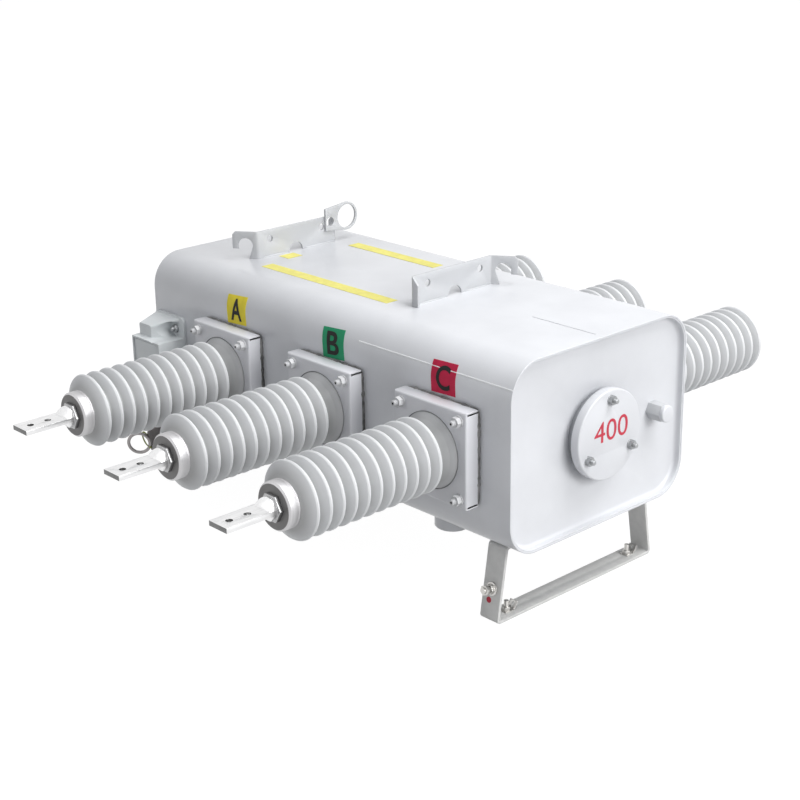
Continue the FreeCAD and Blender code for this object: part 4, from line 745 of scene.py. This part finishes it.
def letter_mesh(text, bold):
    """Text as a mesh in its own plane, centred, with its size."""
    curve = bpy.data.curves.new("letter", "FONT")
    curve.body = text
    curve.align_x = "CENTER"
    curve.offset = bold
    curve.extrude = 0.5
    curve.resolution_u = 6
    holder = bpy.data.objects.new("letter", curve)
    bpy.context.scene.collection.objects.link(holder)
    bpy.context.view_layer.update()
    mesh = bpy.data.meshes.new_from_object(holder.evaluated_get(bpy.context.evaluated_depsgraph_get()))
    bpy.data.objects.remove(holder)
    xs = [v.co.x for v in mesh.vertices]
    ys = [v.co.y for v in mesh.vertices]
    middle = Vector(((min(xs) + max(xs)) / 2, (min(ys) + max(ys)) / 2, 0))
    for v in mesh.vertices:
        v.co -= middle
    return mesh, Vector((max(xs) - min(xs), max(ys) - min(ys)))


def draped_letter(name, text, centre, size, tilt, lift, material):
    """A letter laid over a draped plate, cut across so that it bends with the corner."""
    mesh, drawn = letter_mesh(text, bold=0.02)
    bm = bmesh.new()
    bm.from_mesh(mesh)
    bands = 24
    for k in range(-bands // 2, bands // 2 + 1):
        geometry = bm.verts[:] + bm.edges[:] + bm.faces[:]
        cut = (0, k * drawn[1] / bands, 0)
        bmesh.ops.bisect_plane(bm, geom=geometry, plane_co=cut, plane_no=(0, 1, 0))
    for v in bm.verts:
        dx, ds = v.co.x / drawn[0] * size[0], v.co.y / drawn[1] * size[1]
        v.co = on_front(*tilted(centre, dx, ds, tilt), lift + 0.25 * (v.co.z > 0))
    piece_from(bm, name, material)


PLATE_SIZE, PLATE_THICKNESS = (66, 64), 0.8
LETTER_SIZE, LETTER_LIFT = (37, 49), 1.15
for letter, centre, tilt, sign in (
    ("A", (-320.0, 8.0), 4.0, sign_yellow),
    ("B", (5.5, 5.0), 4.0, sign_green),
    ("C", (329.0, 9.0), 2.5, sign_red),
):
    draped_plate("phase_plate_" + letter, centre, PLATE_SIZE, tilt, PLATE_THICKNESS, sign)
    draped_letter("phase_letter_" + letter, letter, centre, LETTER_SIZE, tilt, LETTER_LIFT, letter_black)


def weld_seam(start, end, s, half_width, height):
    """A low weld bead along the tank's front corner, from one x to another."""
    bm = bmesh.new()
    rings = []
    steps, sides, clear = 140, 5, 0.02
    for i in range(steps + 1):
        x = start + (end - start) * i / steps
        wave = 0.25 * math.sin(i * 2.1) + 0.15 * math.sin(i * 5.3)
        ring = []
        for k in range(sides + 1):
            turn = math.pi * k / sides
            across, proud = half_width * math.cos(turn), (height + wave * 0.4) * math.sin(turn)
            ring.append(bm.verts.new(on_front(x, s + across, clear + proud)))
        rings.append(ring)
    bridge(bm, rings)
    close_ends(bm, rings)
    piece_from(bm, "front_weld", weld_paint, smooth_angle=60.0)


weld_seam(82, 508, s=27, half_width=1.5, height=1.0)


def flat_box(name, low, high, rise, material):
    """A thin box on top of the tank between two corners, with softened edges."""
    bm = bmesh.new()
    spans = ((low[0], high[0]), (low[1], high[1]), (TANK_TOP, TANK_TOP + rise))
    corners = [bm.verts.new(place(x, y, z)) for x in spans[0] for y in spans[1] for z in spans[2]]
    for quad in ((0, 1, 3, 2), (4, 6, 7, 5), (0, 4, 5, 1), (2, 3, 7, 6), (0, 2, 6, 4), (1, 5, 7, 3)):
        bm.faces.new([corners[i] for i in quad])
    bmesh.ops.bevel(bm, geom=bm.edges[:], offset=0.25 * MM, segments=2, affect="EDGES")
    piece_from(bm, name, material)


flat_box("strip_front", (-371, -146), (45, -114), 0.6, strip_yellow)
flat_box("strip_rear", (-370, 112), (-84, 144), 0.6, strip_yellow)
flat_box("strip_small", (-412, -62), (-378, -20), 0.6, strip_yellow)
flat_box("top_weld", (324, -5), (490, -3), 0.7, tank_paint)

# A plain number on the cover: its centre (y, z), width and height
NUMBER_CENTRE = (4, 14)
NUMBER_SIZE = (100, 44)
mesh, drawn = letter_mesh("400", bold=0.0)
for v in mesh.vertices:
    y = NUMBER_CENTRE[0] + v.co.x / drawn[0] * NUMBER_SIZE[0]
    z = NUMBER_CENTRE[1] + v.co.y / drawn[1] * NUMBER_SIZE[1]
    v.co = place(COVER_FRONT + 0.05 + 0.35 * (v.co.z > 0), y, z)
link_mesh("cover_number", mesh, number_red, "tank", 30.0)

# Sealant pressed out between each clamp plate's folds and the tank wall, along the plate's four edges, made
# dark as painted shade of the gap
EDGE, EDGE_END = 97, 94
EDGE_LINES = (
    ((EDGE, -EDGE_END), (EDGE, EDGE_END)), ((-EDGE, -EDGE_END), (-EDGE, EDGE_END)),
    ((-EDGE_END, EDGE), (EDGE_END, EDGE)), ((-EDGE_END, -EDGE), (EDGE_END, -EDGE)),
)
SEALANT_RADIUS = 4.3
for side, way in SIDES:
    rng = random.Random(side)
    y = way * (TANK_HALF_DEPTH + 3.2)
    bm = bmesh.new()
    for x in PHASES.values():
        for (x1, z1), (x2, z2) in EDGE_LINES:
            start, end = (x + x1, y, z1), (x + x2, y, z2)
            bead_into(bm, start, end, SEALANT_RADIUS, rng, step=6.5, ripple=0.05, uneven=0.34)
    piece_from(bm, "sealant_" + side, sealant_and_shade, smooth_angle=60.0)

# Welds at the hangers' feet on both faces of the web, in two runs either side of the notch
for label, x, flip in (("left", -428.0, 1), ("right", 96.0, -1)):
    for number, runs in enumerate(((-98, -30), (30, 104))):
        for face, mark in ((-1, "a"), (1, "b")):
            start, end = ((x + face * 3.0, flip * y, TANK_TOP + 0.6) for y in runs)
            rng = random.Random(number * 4 + face + int(x))
            bm = bmesh.new()
            bead_into(bm, start, end, 2.4, rng, step=1.6, ripple=0.12, uneven=0.06)
            piece_from(bm, "hanger_weld_%s_%d_%s" % (label, number, mark), hanger_paint, smooth_angle=70.0)

# A plain red dot under the earth bolt, flat on the leg's sloping face
LEG_X = 425.0
DOT_LIFT = 3.02  # half the flat bar's thickness and a hair
DOT_UP_THE_LEG = 41.0
leg_foot, leg_top = Vector((LEG_X, -235.0, -353.0)), Vector((LEG_X, -210.0, -198.0))
run = (leg_top - leg_foot).normalized()
outward = Vector((0, -run.z, run.y))
dot = leg_foot + run * DOT_UP_THE_LEG + outward * DOT_LIFT
bm = bmesh.new()
lathe_into(bm, [(0, 0), (0, 6.3), (0.3, 6.3), (0.45, 6.0), (0.45, 0)], dot, outward, 32)
piece_from(bm, "earth_dot", number_red)

# A thin coloured cord tied in a loop 90 mm round to the front pull ring, with its knot
LEVER_SHAFT = Vector((-703.38, 0, -226))  # its axis, in the plane of the pull rings
RING_REACH, RING_DROP = 292, math.radians(10)
CORD_RADIUS, KNOT_RADIUS, LOOP_HALF_WIDTH = 1.9, 4.2, 6.5
ring_centre = LEVER_SHAFT + Vector((0, -math.cos(RING_DROP), -math.sin(RING_DROP))) * RING_REACH
sideways, upward = Vector((0.677, 0.736, 0)), Vector((0, 0, 1))  # as the photograph shows them
across = sideways.cross(upward)
# The two places where the cord is seen to meet the ring
cord_top = ring_centre + sideways * 11 + upward * 28
cord_low = ring_centre + sideways * 25 - upward * 10
cord_middle, cord_half = (cord_top + cord_low) / 2, (cord_top - cord_low) / 2
cord_side = cord_half.cross(across).normalized() * LOOP_HALF_WIDTH
bm = bmesh.new()
rings = []
steps = 40
for i in range(steps):
    turn = 2 * math.pi * i / steps
    along, aside = cord_half * math.cos(turn), cord_side * math.sin(turn)
    outward = (along / cord_half.length + aside / cord_side.length).normalized()
    rings.append(ring_into(bm, cord_middle + along + aside, outward, across, CORD_RADIUS, ROUND_SIDES))
bridge(bm, rings + rings[:1])
piece_from(bm, "ring_cord", cord_green, "lever", 60.0)

knot = place(*cord_low)
bm = bmesh.new()
bmesh.ops.create_icosphere(bm, subdivisions=4, radius=KNOT_RADIUS * MM, matrix=Matrix.Translation(knot))
for v in bm.verts:
    out = (v.co - knot) * PER_METRE
    lump = 0.5 * MM * math.sin(out.x * 1.9 + out.z * 2.3) * math.cos(out.y * 2.1)
    v.co += out.normalized() * lump
piece_from(bm, "ring_knot", cord_green, "lever", 60.0)


# Camera at the photograph's view, as fitted to points on the photograph
CAMERA = [share * PHASE_PITCH for share in (7.401251, -7.020286, 3.540322)]
YAW, PITCH, ROLL = 0.8273617, 0.3496428, -0.0163309
FOCAL_PIXELS, FRAME_PIXELS, SENSOR = 1628.579, 800, 36
forward = Vector((-math.sin(YAW) * math.cos(PITCH), math.cos(YAW) * math.cos(PITCH), -math.sin(PITCH)))
right = Vector((math.cos(YAW), math.sin(YAW), 0))
up = right.cross(forward)
right_rolled = right * math.cos(ROLL) + up * math.sin(ROLL)
up_rolled = up * math.cos(ROLL) - right * math.sin(ROLL)
camera_data = bpy.data.cameras.new("camera")
camera_data.lens = FOCAL_PIXELS / FRAME_PIXELS * SENSOR
camera_data.sensor_width = SENSOR
camera_data.clip_end = 100
camera = bpy.data.objects.new("camera", camera_data)
bpy.context.scene.collection.objects.link(camera)
rotation = Matrix((right_rolled, up_rolled, -forward)).transposed()
camera.matrix_world = Matrix.Translation(place(*CAMERA)) @ rotation.to_4x4()
bpy.context.scene.camera = camera


# Floor, world and lamps

def seen_by_eye(tree):
    """A factor that is one for camera, glossy and transmission rays."""
    path = tree.nodes.new("ShaderNodeLightPath")
    total = path.outputs["Is Camera Ray"]
    for kind in ("Is Glossy Ray", "Is Transmission Ray"):
        join = tree.nodes.new("ShaderNodeMath")
        join.operation = "MAXIMUM"
        tree.links.new(total, join.inputs[0])
        tree.links.new(path.outputs[kind], join.inputs[1])
        total = join.outputs[0]
    return total


def mix_into(tree, mix, factor, unseen, seen, output):
    """Shows one shader to the eye and the other to the rest of the light."""
    tree.links.new(factor, mix.inputs[0])
    tree.links.new(unseen.outputs[0], mix.inputs[1])
    tree.links.new(seen.outputs[0], mix.inputs[2])
    tree.links.new(mix.outputs[0], output.inputs["Surface"])


# The eye sees a floor that is mostly glow, so that it looks white and still keeps the shadow
FLOOR_SIZE, FLOOR_LEVEL = 60, -0.0005
FLOOR_GLOW, GLOW_SHARE = 1.22, 0.8
FLOOR_COLOR = (0.45, 0.45, 0.45, 1)
bpy.ops.mesh.primitive_plane_add(size=FLOOR_SIZE, location=(0, 0, FLOOR_LEVEL))
floor = bpy.context.object
floor.name = "floor"
floor_material = bpy.data.materials.new("floor")
floor_material.use_nodes = True
tree = floor_material.node_tree
tree.nodes.clear()
output = tree.nodes.new("ShaderNodeOutputMaterial")
diffuse = tree.nodes.new("ShaderNodeBsdfDiffuse")
diffuse.inputs["Color"].default_value = FLOOR_COLOR
glow = tree.nodes.new("ShaderNodeEmission")
glow.inputs["Strength"].default_value = FLOOR_GLOW
share = tree.nodes.new("ShaderNodeMath")
share.operation = "MULTIPLY"
share.inputs[1].default_value = GLOW_SHARE
mix = tree.nodes.new("ShaderNodeMixShader")
tree.links.new(seen_by_eye(tree), share.inputs[0])
mix_into(tree, mix, share.outputs[0], diffuse, glow, output)
floor.data.materials.append(floor_material)

# A white background for the eye, and a weak, slightly blue light from all round on the object
SKY_COLOR, SKY_STRENGTH = (0.93, 0.95, 1.0, 1), 0.28
world = bpy.data.worlds.new("world")
bpy.context.scene.world = world
world.use_nodes = True
tree = world.node_tree
tree.nodes.clear()
output = tree.nodes.new("ShaderNodeOutputWorld")
seen = tree.nodes.new("ShaderNodeBackground")
seen.inputs["Color"].default_value = (1, 1, 1, 1)
lit = tree.nodes.new("ShaderNodeBackground")
lit.inputs["Color"].default_value = SKY_COLOR
lit.inputs["Strength"].default_value = SKY_STRENGTH
mix = tree.nodes.new("ShaderNodeMixShader")
mix_into(tree, mix, seen_by_eye(tree), lit, seen, output)

# Lamps: position, target and size in metres, power in watts
for name, position, target, size, power in (
    ("key_light", (2.6, 1.5, 6.9), (0.1, 0, 0.4), (5.2, 5.2), 430),
    ("side_light", (7.2, 0.5, 3.3), (0.5, 0, 0.4), (4.5, 3.5), 360),
    ("front_fill", (-1.6, -3.6, 2.0), (0.0, 0, 0.4), (2.5, 2.0), 13),
):
    data = bpy.data.lights.new(name, "AREA")
    data.shape = "RECTANGLE"
    data.size, data.size_y = size
    data.energy = power
    lamp = bpy.data.objects.new(name, data)
    bpy.context.scene.collection.objects.link(lamp)
    lamp.location = position
    lamp.rotation_euler = (Vector(target) - Vector(position)).to_track_quat("-Z", "Y").to_euler()

bpy.context.scene.view_settings.view_transform = "Standard"
